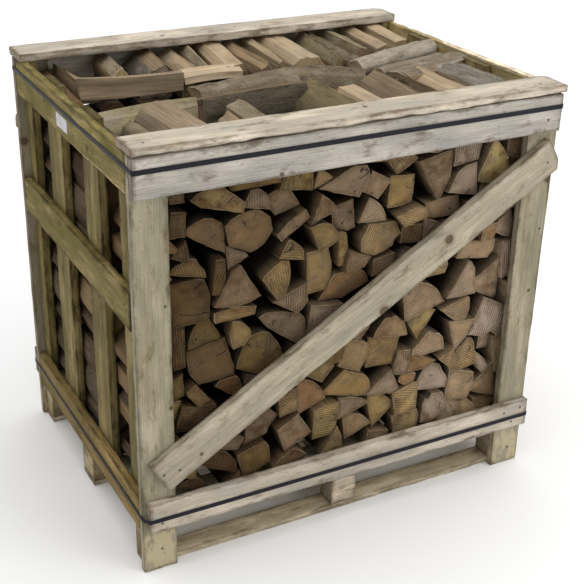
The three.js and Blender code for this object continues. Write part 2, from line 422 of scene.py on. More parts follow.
def sawn_wood(name, pale, line, weather, dirt, moss, mottle=1.0):
    """The colours are of clean wood, ring lines, weathering, dirt and algae; mottle scales the clouds."""
    finish, tree, surface = new_finish(name, 0.78, 0.18)
    grain = fact(tree, "grain")
    _, across, deep = parts(tree, grain)
    edge, end, fresh = parts(tree, fact(tree, "wear"))
    green, brown, _ = parts(tree, fact(tree, "tone"))
    knot = knot_distance(tree, "knot", 1.0)
    nail = knot_distance(tree, "nail", 0.009)
    # rings: distance from the heart, pushed about by slow noise and swept round the knots
    flat = shade(tree, "ShaderNodeCombineXYZ", {1: across, 2: deep}).outputs[0]
    distance = shade(tree, "ShaderNodeVectorMath", {0: flat}, operation="LENGTH").outputs["Value"]
    drift = cloud(tree, stretch(tree, grain, (1.6, 7, 7)), 1.0, 2.0)
    wobble = cloud(tree, stretch(tree, grain, (14, 60, 60)), 1.0, 2.0)
    distance = calc(tree, "MULTIPLY_ADD", drift, 0.030, distance)
    distance = calc(tree, "MULTIPLY_ADD", wobble, 0.0022, distance)
    sweep = calc(tree, "DIVIDE", 0.012, calc(tree, "MULTIPLY_ADD", knot, knot, 1.0))
    distance = calc(tree, "ADD", distance, sweep)
    ring = calc(tree, "FRACT", calc(tree, "DIVIDE", distance, RING_WIDTH))
    rings = ramp(tree, ring, (0.0, 0.0), (0.62, 0.45), (0.9, 1.0), (1.0, 0.1))
    # fibres and clouds
    fibre = cloud(tree, stretch(tree, grain, (9, 420, 420)), 1.0, 4.0, 0.6)
    streak = cloud(tree, stretch(tree, grain, (2.6, 60, 60)), 1.0, 4.0, 0.65)
    patch = cloud(tree, stretch(tree, grain, (4.5, 15, 15), (3, 1, 2)), 1.0, 5.0, 0.62)
    blotch = cloud(tree, stretch(tree, grain, (13, 30, 30), (9, 4, 6)), 1.0, 6.0, 0.7)
    speck = cloud(tree, stretch(tree, grain, (90, 220, 220), (2, 8, 5)), 1.0, 3.0, 0.6)
    sunny = tuple(min(0.9, c * 1.42) for c in pale)
    colour = blend(tree, calc(tree, "MULTIPLY", rings, RING_STRENGTH), pale, line)
    colour = coat(tree, colour, streak, 0.44, 0.66, 0.8 * mottle, line)
    colour = coat(tree, colour, patch, 0.47, 0.63, 0.9 * mottle, weather)
    colour = coat(tree, colour, patch, 0.47, 0.34, 0.8 * mottle, sunny)
    colour = coat(tree, colour, fibre, 0.52, 0.74, 0.65 * mottle, dirt)
    colour = coat(tree, colour, fibre, 0.46, 0.24, 0.45, (0.80, 0.76, 0.66))
    colour = coat(tree, colour, blotch, 0.55, 0.70, 0.8, dirt)
    colour = coat(tree, colour, speck, 0.62, 0.74, 0.7, dirt)
    # algae, and the brown of old wood, by board
    growth = remap(tree, calc(tree, "ADD", blotch, calc(tree, "MULTIPLY", patch, 0.6)), 0.62, 0.98)
    colour = blend(tree, calc(tree, "MULTIPLY", growth, green), colour, moss)
    colour = blend(tree, brown, colour, (0.16, 0.10, 0.055))
    # knots: a dark eye with rings of its own and a shadow round it
    eye = shade(tree, "ShaderNodeMath", {0: calc(tree, "MULTIPLY", knot, 14.0)}, operation="SINE").outputs[0]
    eye = remap(tree, eye, -1, 1, 0.55, 1.0)
    shadow = remap(tree, knot, 1.7, 0.9, 0.0, 0.45)
    colour = blend(tree, shadow, colour, (0.22, 0.13, 0.07))
    core = remap(tree, knot, 1.05, 0.8, 0.0, 0.9)
    colour = blend(tree, calc(tree, "MULTIPLY", core, eye), colour, (0.060, 0.034, 0.018))
    # fresh wood where a board has splintered
    uneven = calc(tree, "SUBTRACT", blotch, 0.5)
    bare = remap(tree, calc(tree, "MULTIPLY_ADD", uneven, 2.2, fresh), 0.48, 0.56)
    bare = calc(tree, "MULTIPLY", bare, remap(tree, fresh, 0.02, 0.2))
    colour = blend(tree, bare, colour, (0.72, 0.62, 0.44))
    # dirty edges, dark end grain, iron stains
    grime = calc(tree, "MULTIPLY_ADD", uneven, 2.4, edge)
    colour = coat(tree, colour, grime, 0.55, 1.15, 0.8, dirt)
    colour = blend(tree, calc(tree, "MULTIPLY", end, 0.6), colour, dirt)
    colour = coat(tree, colour, nail, 0.0050, 0.0020, 0.7, (0.05, 0.035, 0.025))
    colour = blend(tree, 1.0, colour, fact(tree, "tint"), "MULTIPLY")
    tree.links.new(colour, surface.inputs["Base Color"])
    tree.links.new(remap(tree, patch, 0.3, 0.7, 0.68, 0.88), surface.inputs["Roughness"])
    height = calc(tree, "MULTIPLY_ADD", rings, -0.35, calc(tree, "MULTIPLY", fibre, 1.2))
    height = calc(tree, "MULTIPLY_ADD", core, -0.8, height)
    emboss(tree, surface, height, 0.55, 0.0009)
    return finish


PALE = sawn_wood("crate_wood", (0.572, 0.524, 0.428), (0.40, 0.335, 0.235), (0.33, 0.325, 0.29),
                 (0.15, 0.115, 0.075), (0.33, 0.32, 0.13), mottle=0.68)
GREEN = sawn_wood("side_wood", (0.36, 0.295, 0.135), (0.23, 0.17, 0.065), (0.20, 0.175, 0.085),
                  (0.060, 0.044, 0.018), (0.16, 0.155, 0.032))
DUSTY = sawn_wood("pallet_wood", (0.46, 0.40, 0.30), (0.30, 0.24, 0.16), (0.30, 0.27, 0.21),
                  (0.11, 0.085, 0.055), (0.20, 0.18, 0.07))
print("wood finishes:", [finish.name for finish in (PALE, GREEN, DUSTY)])


# %% [markdown]
# ## Boards with their own marks
# A knot is not only a dark disc: the grain bends round it, and a nail leaves a dark iron
# stain.  Both are given board by board as shares of its length and width.  Each point of
# the board stores the way to its nearest knot and nail, so the finish can draw them sharply
# on a coarse mesh.

# %% Marks that boards carry
FAR = 9.0                        # stands for no mark at all


def mark_gaps(spots, marks, radii):
    """For each point: how far its nearest mark lies along and across, and plainly."""
    if not len(marks):
        return np.full((len(spots), 3), FAR)
    gaps = spots[:, None, :2] - np.asarray(marks, float)[None, :, :2]
    gaps = gaps / np.asarray(radii, float)[None, :, None]
    length = np.linalg.norm(gaps, axis=2)
    near = length.argmin(axis=1)
    row = np.arange(len(spots))
    return np.column_stack([gaps[row, near], length[row, near]])


# %% One board in its place
HEART_DEPTH = (0.012, 0.060)     # how far below a board's face the heart of the tree was
WARP = 0.0012
NAIL_SUNK, CAP_NAIL_SUNK = 0.0008, 0.0018
NAILS = []                       # (place, direction it faces), filled in as the boards are made


def board_frame(node, along=None):
    """Start corner, axes (length, width, outward face) and size of a board that lies square."""
    low, high = (np.array(corner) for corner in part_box(node))
    size = high - low
    along = int(size.argmax()) if along is None else along
    thick = min((axis for axis in range(3) if axis != along), key=lambda axis: size[axis])
    across = 3 - along - thick
    outward = 1.0 if thick == 2 or (low + high)[thick] > 0 else -1.0
    axes = np.zeros((3, 3))
    axes[0, along] = 1
    axes[2, thick] = outward
    axes[1] = np.cross(axes[2], axes[0])
    start = np.where(axes.sum(axis=0) > 0, low, high)
    return start, axes, size[[along, across, thick]]


def sawn_board(node, slot, finish, tone=(0, 0), tint=(1, 1, 1), knots=(), nails=(), wear=1.0,
               reshape=None, frame_of=None, along=None, splintered=None):
    """A worn board in place of a CAD node.  Knots are (along, across, radius) and nails
    (along, across), both as shares of its length and width; tone is (green, brown).
    reshape moves its points, and splintered says where its wood is bare, from 0 to 1."""
    seed = sum(ord(letter) * (place + 3) for place, letter in enumerate(node)) % 9973
    chance = np.random.default_rng(seed)
    start, axes, size = frame_of or board_frame(node, along)
    flat, faces = box_grid(size)
    points = rub_edges(flat, size, seed, wear)
    reach = np.minimum(flat, size - flat)
    rim = np.sort(reach, axis=1)[:, 1]
    edge = np.clip(1 - rim / 0.020, 0, 1)
    end = np.clip(1 - reach[:, 0] / 0.004, 0, 1)
    dents = noise(flat + seed, (16, 40, 40), seed + 5) * 0.0004 + 0.0003
    points -= np.sign(flat - size / 2) * (reach < 1e-6) * dents[:, None]
    bow = np.abs(noise(flat * [1, 0, 0] + seed, (2.2, 1, 1), seed)) * WARP
    points[:, 2] -= bow * (flat[:, 2] > size[2] / 2)
    sway = noise(flat * [1, 0, 0] + seed, (3.0, 1, 1), seed + 9) * 0.0010
    points[:, 1] += sway * np.sign(size[1] / 2 - flat[:, 1])
    if reshape is not None:
        points = reshape(points, size)
    heart = (chance.uniform(0, 40), chance.uniform(-0.5, 1.5) * size[1], -chance.uniform(*HEART_DEPTH))
    grain = flat + [heart[0], -heart[1], -heart[2]]
    knot_spots = [(u * size[0], v * size[1]) for u, v, _ in knots]
    nail_spots = [(u * size[0], v * size[1]) for u, v in nails]
    knot = mark_gaps(flat, knot_spots, [radius for _, _, radius in knots])
    nail = mark_gaps(flat, nail_spots, [1.0] * len(nails))
    sunk = CAP_NAIL_SUNK if axes[2, 2] > 0.5 else NAIL_SUNK
    NAILS.extend((start + np.array([u, v, size[2] - sunk]) @ axes, axes[2]) for u, v in nail_spots)
    placed = np.clip(start + points @ axes, *(np.array(corner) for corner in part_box(node)))
    fresh = splintered(flat, size) if splintered is not None else np.zeros(len(flat))
    heap = Heap()
    heap.add(placed, faces, grain=grain, knot=knot, nail=nail, wear=np.column_stack([edge, end, fresh]),
             tone=np.array([*tone, 0.0]), tint=np.array(tint, float))
    piece = heap.build("wood_" + node, [finish], smooth_angle=50)
    settle(piece, slot, node)
    return len(faces)


# %% [markdown]
# ## The end panels
# Front and back are the same panel, one turned half round: two posts, a top and a bottom
# rail nailed over them, and a diagonal board from low left to high right that keeps the
# frame square.  The diagonal's right end is cut upright, just inside the edge of the post,
# so its length is shortened most towards its lower edge.

# %% Front and back panels
BRACE_LOW = (-0.510, 0.2421)     # lower corner of the diagonal's left end, in X and Z
BRACE_RUN, BRACE_CLIMB = 0.540 + 0.557, 0.983 - 0.320
BRACE_RISE = math.atan2(BRACE_CLIMB, BRACE_RUN)
BRACE_SIZE = np.array([math.hypot(BRACE_CLIMB, BRACE_RUN), 0.0911, 0.022])
BRACE_CUT = 0.5735               # X of its upright cut at the right end
RAIL_PLANE = 0.425
WORN_FOOT_HEIGHT = 0.135


def brace_frame(side):
    """side is -1 at the front and 1 at the back."""
    lean, rise = math.cos(BRACE_RISE), math.sin(BRACE_RISE)
    start = np.array([BRACE_LOW[0] * -side, side * RAIL_PLANE, BRACE_LOW[1]])
    axes = np.array([[lean * -side, 0, rise], [rise * side, 0, lean], [0, side, 0]])
    return start, axes, BRACE_SIZE


def trim_brace(points, size):
    reach = (BRACE_CUT - BRACE_LOW[0] + points[:, 1] * math.sin(BRACE_RISE)) / math.cos(BRACE_RISE)
    points[:, 0] = np.minimum(points[:, 0], reach)
    return points


def worn_foot(points, size):
    """A post's lower end is scuffed to bare wood by forks and feet."""
    return np.clip((WORN_FOOT_HEIGHT - points[:, 0]) / 0.03, 0, 1) * 0.62


count = 0
for side, place in ((-1, "front"), (1, "back")):
    left, right = ("left", "right") if side < 0 else ("right", "left")
    brown = 0.0 if side < 0 else 0.25
    count += sawn_board(f"post_{place}_{left}", "crate_wood", PALE, (0.35, brown),
                        tint=(0.64, 0.63, 0.565), wear=0.9, splintered=worn_foot,
                        nails=[(0.055, 0.45), (0.665, 0.16)], knots=[(0.42, 0.07, 0.006)])
    count += sawn_board(f"post_{place}_{right}", "crate_wood", PALE, (0.3, brown),
                        tint=(0.64, 0.62, 0.56), wear=0.9, splintered=worn_foot,
                        nails=[(0.045, 0.4), (0.663, 0.18)],
                        knots=[(0.79, 0.10, 0.012), (0.5, 0.3, 0.005)])
    count += sawn_board(f"{place}_top_rail", "crate_wood", PALE, (0.05, 0),
                        tint=(0.81, 0.82, 0.89), wear=1.2,
                        nails=[(0.965, 0.35)], knots=[(0.31, 0.08, 0.006)])
    count += sawn_board(f"{place}_bottom_rail", "crate_wood", PALE, (0.08, 0),
                        tint=(0.93, 0.90, 0.91), wear=1.4,
                        nails=[(0.028, 0.3), (0.955, 0.25), (0.93, 0.68), (0.978, 0.75)])
    count += sawn_board(f"{place}_brace", "crate_wood", PALE, (0.08, 0),
                        tint=(0.76, 0.74, 0.69), wear=1.2, reshape=trim_brace, frame_of=brace_frame(side),
                        nails=[(0.012, 0.55), (0.04, 0.35), (0.975, 0.42)],
                        knots=[(0.72, 0.55, 0.0135), (0.535, 0.05, 0.015), (0.09, 0.3, 0.005)])
print("end panels:", count, "faces")

# %% [markdown]
# ## The caps
# A cap board lies flat on each end panel.  They were handled most, so their edges are the
# roughest, and a corner of the back one is sawn off.

# %% Cap boards
CORNER_CUT = 0.018


def cut_corner(points, size):
    limit = size[1] - np.clip(CORNER_CUT - (size[0] - points[:, 0]), 0, CORNER_CUT)
    points[:, 1] *= limit / size[1]
    return points


def worn_underside(points, size):
    """The lower front edge has split away in places, which leaves a dark gap under the cap."""
    front = np.clip((0.030 - points[:, 1]) / 0.016, 0, 1) * (points[:, 2] < 0.004)
    where = np.column_stack([points[:, 0], points[:, 0] * 0, points[:, 0] * 0])
    gap = np.clip(noise(where, 6, 3) * 0.6 + noise(where, 31, 4) * 0.5 + 0.25, 0, 1)
    points[:, 2] += front * (0.0012 + gap * 0.0040)
    return points


count = sawn_board("cap_front", "crate_wood", PALE, (0.05, 0), tint=(1.10, 1.06, 1.05), wear=1.9,
                   reshape=worn_underside, nails=[(0.035, 0.35), (0.95, 0.4)], knots=[(0.52, 0.62, 0.006)])
count += sawn_board("cap_back", "crate_wood", PALE, (0.05, 0), tint=(1.12, 1.09, 1.10), wear=1.7,
                    reshape=cut_corner, nails=[(0.56, 0.6)], knots=[(0.36, 0.4, 0.006)])
print("caps:", count, "faces")

# %% [markdown]
# ## The sides
# Three rails are nailed outside four upright slats.  The left side faced the weather, so
# algae have turned it olive.  The right top rail stands a little proud of the others and falls
# away towards the back, which its reshape function takes from the rail's own height.

# %% Rails and slats
RAIL_HEIGHT = 0.095
CAP_EDGE = 0.352


def sloping_top(points, size):
    """The right top rail: level under the cap, then highest just behind it."""
    along = points[:, 0] - size[0] / 2
    rise = np.where(along < -CAP_EDGE, 0.0, (CAP_EDGE - along) / (2 * CAP_EDGE)).clip(0, 1)
    height = RAIL_HEIGHT + (size[1] - RAIL_HEIGHT) * rise
    points[:, 1] *= height / size[1]
    return points


def splintered_rim(points, size):
    """Bare wood along the upper edge of a rail, most of it towards the front."""
    top = np.clip((points[:, 1] - size[1] + 0.006) / 0.004, 0, 1)
    frontwards = np.clip(1.15 - 1.1 * points[:, 0] / size[0], 0.25, 1)
    return top * frontwards


# by side: algae, then tints of the bottom, middle and top rails and of the slats
SIDE_LOOKS = {
    "left": (1.0, (0.86, 0.70, 0.56), (0.86, 0.78, 0.68), (0.86, 0.80, 0.66), (0.66, 0.62, 0.50)),
    "right": (0.15, (1.1, 1.05, 1.1), (1.2, 1.15, 1.2), (1.5, 1.45, 1.45), (1.0, 0.95, 0.9)),
}
count = 0
for side, (green, low_tint, middle_tint, top_tint, slat_tint) in SIDE_LOOKS.items():
    count += sawn_board(f"{side}_bottom_rail", "side_wood", GREEN, (green * 0.5, 0), tint=low_tint, wear=1.2,
                        nails=[(0.05, 0.5), (0.93, 0.4)])
    count += sawn_board(f"{side}_middle_rail", "side_wood", GREEN, (green, 0), tint=middle_tint, wear=0.8,
                        knots=[(0.62, 0.2, 0.009)], nails=[(0.04, 0.4), (0.95, 0.6)])
    count += sawn_board(f"{side}_top_rail", "side_wood", GREEN, (green, 0), tint=top_tint, wear=2.6,
                        reshape=sloping_top if side == "right" else None, knots=[(0.3, 0.7, 0.009)],
                        nails=[(0.3, 0.4), (0.7, 0.5)], splintered=splintered_rim)
    for slat, share in enumerate((0.35, 0.2, 0.3, 0.6)):
        count += sawn_board(f"{side}_slat_{slat + 1}", "side_wood", GREEN, (green * share, 0),
                            tint=slat_tint, wear=0.8)
print("sides:", count, "faces")

# %% [markdown]
# ## The pallet
# Runners, blocks, stringers and deck boards are rough packing timber.  The grain of a block
# runs along the crate, whatever its longest side.

# %% Pallet boards
count = 0
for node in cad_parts:
    if node.startswith(("runner_", "stringer_", "deck_board_")):
        count += sawn_board(node, "pallet_wood", DUSTY, (0.3, 0), tint=(1.45, 1.42, 1.36), wear=1.6)
    if node.startswith("block_"):
        green = 0.9 if node.endswith("left") else 0.1
        light = (1.2, 1.12, 0.98) if node.endswith("left") else (1.38, 1.36, 1.40)
        grain_axis = 0 if node.startswith("block_front") else 1
        count += sawn_board(node, "pallet_wood", DUSTY, (green, 0), tint=light, wear=1.6, along=grain_axis)
print("pallet:", count, "faces")

# %% [markdown]
# ## The straps
# A polypropylene strap is a thin flat band with a fine woven emboss.  Pulled tight, it touches
# only the outermost corners of the crate: where a rail stops short of the edge, the band
# cuts across from the rail's end to the side board.  So each path is given by its corners,
# with many short steps round each corner and long ones between.

# %% Straps
STRAP_CLEAR = 0.0006
STRAP_THICK = 0.0007
STRAP_WANDER = 0.0012
WEAVE_PITCH = 1900.0             # radians of the emboss in a metre
CORNER_ROUND = 0.003
STRAP_CORNERS = {
    "strap_upper": [(0.565, -0.447), (0.575, -0.425), (0.575, 0.447),
                    (-0.565, 0.447), (-0.575, 0.425), (-0.575, -0.447)],
    "strap_lower": [(0.575, -0.447), (0.575, 0.425), (0.563, 0.447),
                    (-0.575, 0.447), (-0.575, -0.425), (-0.563, -0.447)],
}


def strap_black():
    finish, tree, surface = new_finish("strap_black", 0.55, 0.16)
    run, rise, _ = parts(tree, fact(tree, "strip"))
    weave = calc(tree, "MULTIPLY", calc(tree, "SINE", calc(tree, "MULTIPLY", run, WEAVE_PITCH)),
                 calc(tree, "SINE", calc(tree, "MULTIPLY", rise, WEAVE_PITCH)))
    dust = cloud(tree, stretch(tree, fact(tree, "strip"), (14, 90, 90)), 1.0, 4.0)
    colour = blend(tree, remap(tree, dust, 0.45, 0.8, 0.0, 0.5), (0.009, 0.009, 0.015), (0.03, 0.029, 0.028))
    tree.links.new(colour, surface.inputs["Base Color"])
    tree.links.new(remap(tree, dust, 0.3, 0.7, 0.42, 0.6), surface.inputs["Roughness"])
    emboss(tree, surface, weave, 0.35, 0.0003)
    return finish


def strap_path(corners):
    """Line of a tight band round the given corners: places and the directions that face out."""
    corners = np.array(corners)
    edges = np.roll(corners, -1, axis=0) - corners
    normals = np.column_stack([edges[:, 1], -edges[:, 0]]) / np.linalg.norm(edges, axis=1)[:, None]
    befores = np.roll(normals, 1, axis=0)
    spread = 1 + (befores * normals).sum(axis=1, keepdims=True)
    centres = corners - CORNER_ROUND * (befores + normals) / spread
    places, ways = [], []
    for index, (centre, before, after) in enumerate(zip(centres, befores, normals)):
        for share in np.linspace(0, 1, 7):
            way = before * (1 - share) + after * share
            way /= np.linalg.norm(way)
            places.append(centre + way * CORNER_ROUND)
            ways.append(way)
        start = places[-1]
        target = centres[(index + 1) % len(centres)] + after * CORNER_ROUND
        steps = max(2, round(np.linalg.norm(target - start) / 0.04))
        for share in np.linspace(0, 1, steps + 1)[1:-1]:
            places.append(start + (target - start) * share)
            ways.append(after)
    return np.array(places), np.array(ways)


def strap(node, finish):
    """A thin closed band round the crate; it wanders a little up and down on the boards."""
    low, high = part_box(node)
    width = high.z - low.z
    places, ways = strap_path(STRAP_CORNERS[node])
    wander = noise(np.column_stack([places, np.full(len(places), low.z)]), 2.5, 11) * STRAP_WANDER
    outer = STRAP_CLEAR + STRAP_THICK
    section = [(STRAP_CLEAR, 0.0004), (STRAP_CLEAR, width - 0.0004), (outer - 0.0003, width),
               (outer, width - 0.0006), (outer, 0.0006), (outer - 0.0003, 0)]
    run = np.concatenate([[0], np.cumsum(np.linalg.norm(np.diff(places, axis=0), axis=1))])
    points, strip = [], []
    for place, way, drift, length in zip(places, ways, wander, run):
        for out, up in section:
            points.append([*(place + way * out), low.z + up + drift])
            strip.append([length, up, 0])
    sides, total = len(section), len(places)
    faces = []
    for i in range(total):
        for j in range(sides):
            here, ahead = i * sides, (i + 1) % total * sides
            faces.append((here + j, here + (j + 1) % sides, ahead + (j + 1) % sides, ahead + j))
    heap = Heap()
    heap.add(points, faces, strip=strip)
    piece = heap.build("band_" + node, [finish], smooth_angle=40)
    settle(piece, "strap", node)
    return len(faces)


BLACK = strap_black()
print("straps:", sum(strap(node, BLACK) for node in STRAP_CORNERS), "faces")

# %% [markdown]
# ## The paper label
# A small bare label is glued on the left top rail.  It is a thin sheet with its corners
# slightly lifted and no print on it.

# %% Label
def label_paper():
    finish, tree, surface = new_finish("label_paper", 0.6, 0.3)
    place = shade(tree, "ShaderNodeTexCoord").outputs["Object"]
    stain = cloud(tree, stretch(tree, place, (60, 60, 60)), 1.0, 4.0)
    colour = blend(tree, remap(tree, stain, 0.45, 0.75), (0.62, 0.62, 0.62), (0.42, 0.41, 0.39))
    tree.links.new(colour, surface.inputs["Base Color"])
    emboss(tree, surface, stain, 0.2, 0.0005)
    return finish


def paper_label():
    low, high = (np.array(corner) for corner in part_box("label"))
    columns, rows = 9, 6
    heap = Heap()
    across, up = np.meshgrid(np.linspace(0, 1, columns), np.linspace(0, 1, rows))
    lift = (np.abs(across - 0.5) * 2) ** 6 * (np.abs(up - 0.5) * 2) ** 6
    for layer, thick in ((0, 0.00045), (1, 0.0)):
        x = high[0] - thick - lift * 0.00015
        y = low[1] + (high[1] - low[1]) * across
        z = low[2] + (high[2] - low[2]) * up
        points = np.stack([x, y, z], axis=2).reshape(-1, 3)
        faces = []
        for r in range(rows - 1):
            for c in range(columns - 1):
                first, second = r * columns + c, (r + 1) * columns + c
                quad = (first, first + 1, second + 1, second)
                faces.append(quad[::-1] if layer == 0 else quad)
        heap.add(points, faces)
    size = rows * columns
    border = list(range(columns)) + list(range(2 * columns - 1, size, columns))
    border += list(range(size - 2, size - columns - 1, -1)) + list(range(size - 2 * columns, 0, -columns))
    ring = list(zip(border, border[1:] + border[:1]))
    heap.faces += [(a, b, b + size, a + size) for a, b in ring]
    heap.looks += [0] * len(ring)
    piece = heap.build("paper_label", [label_paper()])
    settle(piece, "label", "label")


paper_label()

# %% [markdown]
# ## Nails
# Only the flat round heads show, one for each mark that the boards were given.  Something
# small that repeats at known places is a job for Geometry Nodes: a mesh of loose points
# carries each nail's direction, and the tree puts a low cone on every point and turns it.

# %% Nails by Geometry Nodes
def iron():
    finish, tree, surface = new_finish("nail_iron", 0.55, 0.4)
    place = shade(tree, "ShaderNodeTexCoord").outputs["Object"]
    rust = cloud(tree, stretch(tree, place, (900, 900, 900)), 1.0, 3.0)
    colour = blend(tree, remap(tree, rust, 0.35, 0.7), (0.045, 0.04, 0.036), (0.11, 0.06, 0.035))
    tree.links.new(colour, surface.inputs["Base Color"])
    surface.inputs["Metallic"].default_value = 0.35
    return finish


def nail_tree(finish):
    tree = bpy.data.node_groups.new("nail_heads", "GeometryNodeTree")
    face = tree.interface
    face.new_socket("Geometry", in_out="INPUT", socket_type="NodeSocketGeometry")
    face.new_socket("Head Radius", in_out="INPUT", socket_type="NodeSocketFloat")
    face.new_socket("Head Height", in_out="INPUT", socket_type="NodeSocketFloat")
    face.new_socket("Geometry", in_out="OUTPUT", socket_type="NodeSocketGeometry")
    start = tree.nodes.new("NodeGroupInput")
    head = tree.nodes.new("GeometryNodeMeshCone")
    head.inputs["Vertices"].default_value = 12
    head.inputs["Side Segments"].default_value = 2
    tree.links.new(start.outputs["Head Radius"], head.inputs["Radius Bottom"])
    crown = shade(tree, "ShaderNodeMath", {0: start.outputs["Head Radius"], 1: 0.72}, operation="MULTIPLY")
    tree.links.new(crown.outputs[0], head.inputs["Radius Top"])
    tree.links.new(start.outputs["Head Height"], head.inputs["Depth"])
    facing = tree.nodes.new("GeometryNodeInputNamedAttribute")
    facing.data_type = "FLOAT_VECTOR"
    facing.inputs["Name"].default_value = "facing"
    turn = tree.nodes.new("FunctionNodeAlignRotationToVector")
    turn.axis = "Z"
    tree.links.new(facing.outputs["Attribute"], turn.inputs["Vector"])
    spread = tree.nodes.new("GeometryNodeInstanceOnPoints")
    tree.links.new(start.outputs["Geometry"], spread.inputs["Points"])
    tree.links.new(head.outputs["Mesh"], spread.inputs["Instance"])
    tree.links.new(turn.outputs["Rotation"], spread.inputs["Rotation"])
    size = tree.nodes.new("FunctionNodeRandomValue")
    size.data_type = "FLOAT_VECTOR"
    size.inputs["Min"].default_value = (0.85, 0.85, 0.85)
    size.inputs["Max"].default_value = (1.1, 1.1, 1.1)
    size.inputs["Seed"].default_value = 7
    tree.links.new(size.outputs["Value"], spread.inputs["Scale"])
    solid = tree.nodes.new("GeometryNodeRealizeInstances")
    tree.links.new(spread.outputs["Instances"], solid.inputs["Geometry"])
    dress = tree.nodes.new("GeometryNodeSetMaterial")
    dress.inputs["Material"].default_value = finish
    tree.links.new(solid.outputs["Geometry"], dress.inputs["Geometry"])
    finish_line = tree.nodes.new("NodeGroupOutput")
    tree.links.new(dress.outputs["Geometry"], finish_line.inputs["Geometry"])
    return tree


def drive_nails():
    mesh = bpy.data.meshes.new("nail_places")
    mesh.from_pydata([tuple(place) for place, _ in NAILS], [], [])
    layer = mesh.attributes.new("facing", "FLOAT_VECTOR", "POINT")
    layer.data.foreach_set("vector", np.array([way for _, way in NAILS], np.float32).ravel())
    source = bpy.data.objects.new("nail_places", mesh)
    bpy.context.scene.collection.objects.link(source)
    finish = iron()
    tree = nail_tree(finish)
    grow = source.modifiers.new("nails", "NODES")
    grow.node_group = tree
    sockets = {item.name: item.identifier for item in tree.interface.items_tree if item.in_out == "INPUT"}
    grow[sockets["Head Radius"]] = 0.0023
    grow[sockets["Head Height"]] = 0.0016
    bpy.context.view_layer.update()
    solid = bpy.data.meshes.new_from_object(source.evaluated_get(bpy.context.evaluated_depsgraph_get()))
    bpy.data.objects.remove(source)
    piece = bpy.data.objects.new("nails", solid)
    bpy.context.scene.collection.objects.link(piece)
    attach(piece, "root")
    return len(solid.polygons)


print("nails:", len(NAILS), "heads,", drive_nails(), "faces")

# %% [markdown]
# ## Split logs
# A log is sawn to length and then split with an axe or a wedge, so it has three kinds of
# surface: a flat sawn end with rings and saw marks, fibrous split faces, and what is left of
# the bark.  Its outline is one of a few everyday shapes: a wedge with its point at the heart
# of the tree, a half round, a block, a slab or a whole round.  Each outline is a list of
# corners, and each corner remembers whether the edge after it is bark.

# %% Outlines of split wood
def arc(centre, radius, first, last, steps):
    angles = np.radians(np.linspace(first, last, steps))
    return [(centre[0] + radius * math.cos(a), centre[1] + radius * math.sin(a), 1) for a in angles]


def raw_outline(kind, chance):
    """Corners (u, v, bark) anticlockwise, with the bark towards +u, and the heart of the tree."""
    def jitter(amount):
        return chance.uniform(-amount, amount)

    if kind == "wedge":
        spread = chance.uniform(26, 44)
        bend = arc((0, 0), 1, -spread, spread * chance.uniform(0.8, 1.1), 8)
        bend[-1] = (*bend[-1][:2], 0)
        tip = [(0.02, jitter(0.06) + 0.04, 0), (0.0, jitter(0.03) - 0.03, 0)]
        return tip + bend, (-0.05, 0)
    if kind == "half":
        bend = [(u * chance.uniform(0.8, 1.0), v, bark) for u, v, bark in arc((0, 0), 1, -84, 84, 11)]
        bend[-1] = (*bend[-1][:2], 0)
        return bend + [(jitter(0.08), 0.3 + jitter(0.3), 0)], (0, 0)
    if kind == "round":
        ring = arc((0, 0), 1, 0, 342, 18)
        return [(u * (1 + jitter(0.05)), v * (1 + jitter(0.05)), 1) for u, v, _ in ring], (0, 0)
    if kind == "slab":
        thick = chance.uniform(0.34, 0.44)
        bulge = arc((thick - 3.2, 0), 3.2, -17, 17, 6)
        bulge[-1] = (*bulge[-1][:2], 0)
        return [(-thick + jitter(0.1), 0.9, 0), (-thick + jitter(0.08), -0.9, 0)] + bulge, (thick - 3.2, 0)
    bark = int(chance.random() < 0.45)
    corners = [(-0.9 + jitter(0.16), 0.9 + jitter(0.16), 0), (-0.9 + jitter(0.22), -0.9 + jitter(0.16), 0)]
    corners += [(0.85 + jitter(0.16), -0.9 + jitter(0.2), bark), (1.02, jitter(0.3), bark)]
    corners += [(0.85 + jitter(0.16), 0.85 + jitter(0.2), 0)]
    return corners, (-2.2, jitter(0.6))


def fitted_outline(kind, centre, width, height, turn, chance):
    """The outline turned so that its bark faces turn degrees, then stretched to a width and height."""
    corners, heart = raw_outline(kind, chance)
    flat = np.array([corner[:2] for corner in corners] + [heart])
    angle = math.radians(turn + chance.uniform(-8, 8))
    turned = flat @ np.array([[math.cos(angle), math.sin(angle)], [-math.sin(angle), math.cos(angle)]])
    low, high = turned[:-1].min(axis=0), turned[:-1].max(axis=0)
    scale = np.array([width, height]) / (high - low)
    placed = (turned - (low + high) / 2) * scale + centre
    return [(*spot, corner[2]) for spot, corner in zip(placed[:-1], corners)], placed[-1]


# %% [markdown]
# ## A stack without overlaps
# Logs in a stack touch but never cut through each other.  For any two convex outlines that
# overlap there is a best line to part them: it runs along one of their own sides, where
# they overlap least.  Each is cut back to that line, as if it had been split off there, so
# wedges keep their points and the dark three-cornered gaps of a real stack stay open.

# %% Part two outlines
def trimmed(outline, normal, limit):
    """The part of a convex outline where normal . point < limit; new edges are split, not bark."""
    kept = []
    for corner, following in zip(outline, outline[1:] + outline[:1]):
        inside = normal[0] * corner[0] + normal[1] * corner[1] - limit
        after = normal[0] * following[0] + normal[1] * following[1] - limit
        if inside <= 0:
            kept.append(corner)
        if (inside <= 0) != (after <= 0):
            share = inside / (inside - after)
            spot = [corner[axis] + (following[axis] - corner[axis]) * share for axis in (0, 1)]
            kept.append((*spot, 0 if inside <= 0 else corner[2]))
    return kept


